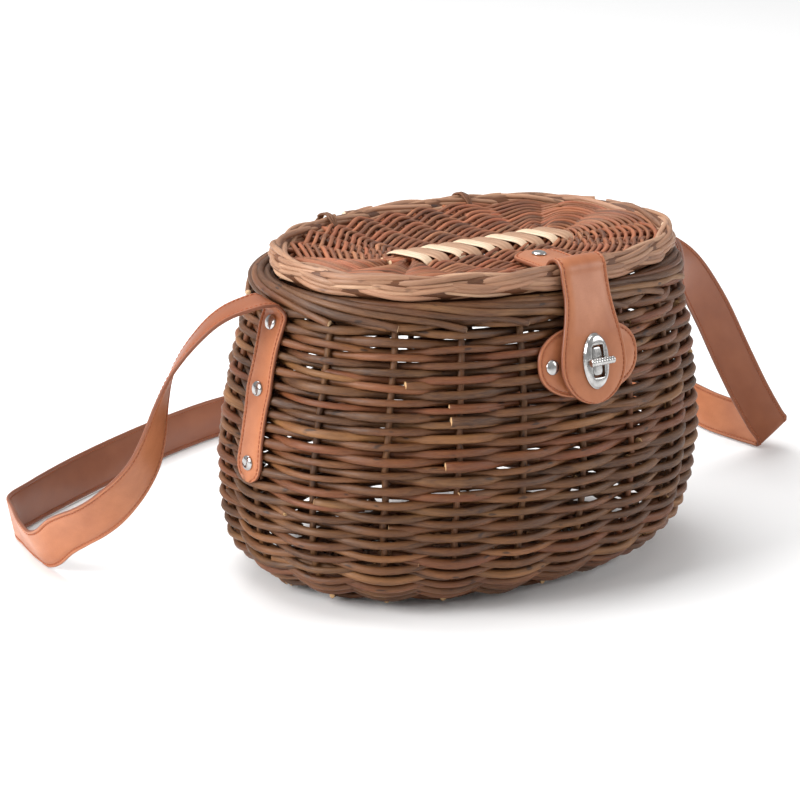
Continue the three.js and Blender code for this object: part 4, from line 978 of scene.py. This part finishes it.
def rounded(half_width, half_height, power=1.0):
    """Closed outline over the angles: an ellipse at power 1, nearer to a rectangle the lower it
    is. Each coordinate is its half size times the cosine or sine to that power, signed."""
    round_and_flat = np.stack([np.cos(angle), np.sin(angle)], -1)
    return (half_width, half_height) * np.sign(round_and_flat) * np.abs(round_and_flat) ** power


def patch_outline(inset):
    """The patch's rounded outline, moved in from its edge by a distance."""
    return patch_middle + rounded(PATCH_LENGTH - inset, PATCH_HEIGHT - inset, 0.85)


# distance in from the edge, and height over the leather's middle, of each ring of the patch
insets, depths = np.array([
    [12.0, -1.3], [0.8, -1.2], [0.2, -0.75], [0, 0], [0.1, 0.62], [0.55, 1.22], [1.1, 1.42],
    [1.7, 1.32], [2.2, 0.92], [2.6, 0.82], [3.0, 0.92], [3.8, 1.26], [8, 1.4], [14, 1.42],
    [20, 1.42]]).T
rings = np.stack([patch_outline(inset) for inset in insets])
surface, normal = front_point(rings[..., 0], rings[..., 1])
points = surface + (depths + GAP + LEATHER / 2)[:, None, None] * normal
ends, end_normals = front_point(np.full(2, patch_middle[0]), np.full(2, patch_middle[1]))
ends = ends + (np.array([-1.3, 1.42]) + GAP + LEATHER / 2)[:, None] * end_normals
levels = len(insets)
flat = np.concatenate([rings.reshape(-1, 2), [patch_middle, patch_middle]])
grain = np.column_stack([flat, np.zeros(len(flat))]) * MM
edge = np.stack(np.broadcast_arrays(insets[:, None] * MM, (depths > 0)[:, None] * 1.0,
                                    np.zeros((levels, ANGLES))), -1).reshape(-1, 3)
edge = np.concatenate([edge, [[0.02, 0, 0], [0.02, 1, 0]]])
patch = build("patch_leather", np.concatenate([points.reshape(-1, 3), ends]),
              skin(1, levels, ANGLES), "basket", strap_leather,
              {"grain": grain, "edge": edge})
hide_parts("clasp_patch")
line = patch_outline(STITCH_LINE)
line = np.concatenate([line, line[:2]])
surface, normal = front_point(line[:, 0], line[:, 1])
stitches("patch_stitches", surface + (GAP + LEATHER / 2) * normal, normal, 0.9, "basket")
point, normal = front_point(np.array(LOCK_X + PATCH_RIVET_SIDE), np.array(LOCK_HEIGHT))
patch_rivet = turned("patch_rivet_steel", rivet_profile(LEATHER + GAP, WALL),
                     [seat_on(point, normal)], "basket")
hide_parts("patch_rivet")

# ---------------------------------------------------------------- closing tab
# A leather tab is riveted to the lid, bends down over its edge and the rim, and widens to a
# round end. The oval plate of the turn lock is fixed through it.
knob_joint = next(joint for joint in frame["joints"] if joint["name"] == "knob_turn")
lock_origin = np.array(knob_joint["pos_m"]) / MM
lock_out = unit(np.array(knob_joint["axis"]))
lock_up = np.cross(lock_out, [1.0, 0, 0])
TAB_NECK, TAB_HEAD, TAB_LEAN, TAB_BELOW_LOCK = 19.8, 28.0, 0.08, 28.0
TAB_LID_END, TAB_FLAT_END, TAB_EASE, TAB_RIVETS = 46.0, 87.0, 1.0, (-58.0, -81.0)
LOCK_SHEET, PLATE_EDGE, PLATE_DOME = 1.2, 1.0, 2.4
PLATE_HALF_WIDTH, PLATE_HALF_HEIGHT = 11.0, 18.5
SHEET_BOTTOM = 2 * GAP + LEATHER
TAB_BOTTOM = SHEET_BOTTOM + LOCK_SHEET + GAP
over = GAP + LEATHER / 2
flat_top = PANEL_TOP + over
knots = [(-(TAB_LID_END + (TAB_FLAT_END - TAB_LID_END) * share), flat_top)
         for share in (0, 0.3, 0.6, 0.9, 1)]
knots.append((-TAB_FLAT_END - 1.6, flat_top + 0.8))
border_y = TAB_EASE / 2 - BORDER_WIDTH - LID_FORWARD
for degrees in range(42, 173, 26):
    bend = math.radians(degrees)
    knots.append((border_y + (BORDER_HALF_WIDTH + over + TAB_EASE) * math.cos(bend),
                  LID_HEIGHT + (BORDER_HALF_HEIGHT + over + TAB_EASE / 2) * math.sin(bend)))
knots.append((-(RIM_WIDTH + RIM_RADIUS) - over - GAP, RIM_HEIGHT + 2))
for up in (19, 12, 4, -4, -12, -18, -TAB_BELOW_LOCK):
    spot = lock_origin + up * lock_up + (TAB_BOTTOM + LEATHER / 2) * lock_out
    knots.append((spot[1], spot[2]))
knots = np.array(knots)
knot_run = np.insert(np.cumsum(np.sqrt(np.hypot(*np.diff(knots, axis=0).T))), 0, 0)
dense = through(knot_run, knots, np.linspace(0, knot_run[-1], 900))
run = distances(dense)
length = run[-1]
tip = np.array([0.0, 0.05, 0.2, 0.5, 1.0, 1.7, 2.6, 3.8, 5.2, 7, 9, 11.5, 14])
even = np.concatenate([tip, np.arange(16, length - 16, 1.6), length - tip[::-1]])
line = np.stack([np.interp(even, run, dense[:, k]) for k in (0, 1)], -1)
below = ease((RIM_TOP - line[:, 1]) / (RIM_TOP - LOCK_HEIGHT))
below = below * (line[:, 0] < -(RIM_WIDTH + RIM_RADIUS))
tab_halves = TAB_NECK + (TAB_HEAD - TAB_NECK) * below
for from_end, reach in ((even, TAB_NECK * 0.6), (length - even, TAB_HEAD * 0.95)):
    tab_halves = tab_halves * np.sqrt(1 - (1 - np.minimum(from_end / reach, 1)) ** 2)
tab_halves = np.maximum(tab_halves, 0.3)
aside = LOCK_X + TAB_LEAN * np.maximum(length - even - TAB_BELOW_LOCK - PLATE_HALF_HEIGHT, 0)
tab_middles = np.column_stack([aside, line])
tab_across = np.broadcast_to((-1.0, 0.0, 0.0), tab_middles.shape)
tab = band("tab_leather", tab_middles, tab_across, tab_halves, leather_section, "lid",
           strap_leather)
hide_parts("closure_tab")
tab_normals = unit(np.cross(tab_across, unit(np.gradient(tab_middles, axis=0))))
right = tab_middles + (tab_halves - STITCH_LINE)[:, None] * tab_across
left = tab_middles - (tab_halves - STITCH_LINE)[:, None] * tab_across
sewn = tab_halves > 5.5
loop = np.concatenate([left[sewn], right[sewn][::-1]])
stitches("tab_stitches", loop, np.concatenate([tab_normals[sewn], tab_normals[sewn][::-1]]),
         0.9, "lid")
seats = []
for y in TAB_RIVETS:
    x = np.interp(-y, -tab_middles[:, 1], tab_middles[:, 0])
    seats.append([np.array([x, y, PANEL_TOP]), *np.eye(3)])
tab_rivets = turned("tab_rivets", rivet_profile(LEATHER + GAP, 6.0), seats, "lid")
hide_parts("tab_rivet_1", "tab_rivet_2")

# ---------------------------------------------------------------- turn lock
# The lock is pressed from bright plated steel. A domed oval plate with a slot is fixed to the
# tab, a block on a plate under it stands in the slot, and a ribbed barrel turns on the block.
SLOT_HALF_WIDTH, SLOT_HALF_HEIGHT = 5.2, 10.6
KNOB_RADIUS, KNOB_HALF_LENGTH, KNOB_STEM, KNOB_LIFT, KNOB_RIBS = 2.6, 10.0, 1.8, 0.6, 9
PLATE_BOTTOM = TAB_BOTTOM + LEATHER + GAP
PLATE_TOP = PLATE_BOTTOM + PLATE_EDGE + PLATE_DOME
KNOB_HEIGHT = PLATE_TOP + KNOB_LIFT + KNOB_RADIUS
lock_axes = np.array([[1.0, 0, 0], lock_up, lock_out])
RING = 96
angle = 2 * np.pi * np.arange(RING) / RING
# the plate's rings: the share of the way from the slot out to the oval, and the height
edge = PLATE_BOTTOM + PLATE_EDGE
dome = np.linspace(0, np.pi / 2, 9)[1:]
out, height = np.concatenate([
    [[0.98, PLATE_BOTTOM], [1.0, PLATE_BOTTOM + 0.2], [1.0, edge - 0.2], [0.97, edge]],
    np.stack([0.9 - 0.62 * (1 - np.cos(dome)), edge + PLATE_DOME * np.sin(dome)], -1),
    [[0.1, PLATE_TOP], [0.03, PLATE_TOP - 0.1], [0, PLATE_TOP - 0.5], [0, PLATE_BOTTOM]]]).T
slot = rounded(SLOT_HALF_WIDTH, SLOT_HALF_HEIGHT, 0.25)
flat = slot + out[:, None, None] * (rounded(PLATE_HALF_WIDTH, PLATE_HALF_HEIGHT) - slot)
heights = np.broadcast_to(height[:, None, None], flat.shape[:2] + (1,))
local = np.concatenate([flat, heights], -1).reshape(-1, 3)
rings = np.arange(len(local)).reshape(len(out), RING)
around = sides_of(np.concatenate([rings, rings[:1]]))[:, [0, 3, 2, 1]]
plate = build("lock_plate_steel", lock_origin + local @ lock_axes, [around], "lid", steel)
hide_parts("lock_plate")
BLOCK_TOP, BLOCK_CLEAR = PLATE_TOP - PLATE_DOME / 2, 1.2
block = rounded(SLOT_HALF_WIDTH - BLOCK_CLEAR, SLOT_HALF_HEIGHT - BLOCK_CLEAR, 0.4)
sheet = rounded(PLATE_HALF_WIDTH - 1, PLATE_HALF_HEIGHT - 1)
levels = [(sheet, SHEET_BOTTOM), (sheet, SHEET_BOTTOM + LOCK_SHEET - 0.2),
          (sheet * 0.985, SHEET_BOTTOM + LOCK_SHEET), (block, SHEET_BOTTOM + LOCK_SHEET + 0.01),
          (block, BLOCK_TOP - 0.5), (block * 0.96, BLOCK_TOP - 0.12), (block * 0.88, BLOCK_TOP)]
local = np.concatenate([np.column_stack([flat, np.full(RING, height)]) for flat, height in levels]
                       + [[[0, 0, SHEET_BOTTOM]], [[0, 0, BLOCK_TOP]]])
base_piece = build("lock_base_steel", lock_origin + local @ lock_axes,
                   skin(1, len(levels), RING), "basket", steel)
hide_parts("lock_base")

rib = np.linspace(0, 1, 9)[:-1]
ribs = (np.arange(KNOB_RIBS)[:, None] + rib).ravel() / KNOB_RIBS
barrel = np.stack([KNOB_RADIUS * (0.84 + 0.16 * np.abs(np.sin(np.pi * KNOB_RIBS * ribs)) ** 0.6),
                   -KNOB_HALF_LENGTH + 2 * KNOB_HALF_LENGTH * ribs], -1)
barrel = np.concatenate([
    [[0, -KNOB_HALF_LENGTH], [KNOB_RADIUS * 0.6, -KNOB_HALF_LENGTH]], barrel[1:],
    [[KNOB_RADIUS * 0.6, KNOB_HALF_LENGTH], [0, KNOB_HALF_LENGTH]]])
foot = SHEET_BOTTOM + LOCK_SHEET + GAP
stem = [[0, foot], [KNOB_STEM, foot], [KNOB_STEM, KNOB_HEIGHT - KNOB_RADIUS * 0.5],
        [0, KNOB_HEIGHT - KNOB_RADIUS * 0.5]]
barrel_seat = [lock_origin + KNOB_HEIGHT * lock_out, lock_up, lock_out, np.array([1.0, 0, 0])]
knob = turned("knob_barrel", barrel, [barrel_seat], "knob")
turned("knob_stem", stem, [[lock_origin, *lock_axes]], "knob")
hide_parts("turn_knob")

# ---------------------------------------------------------------- last update
bpy.context.view_layer.update()
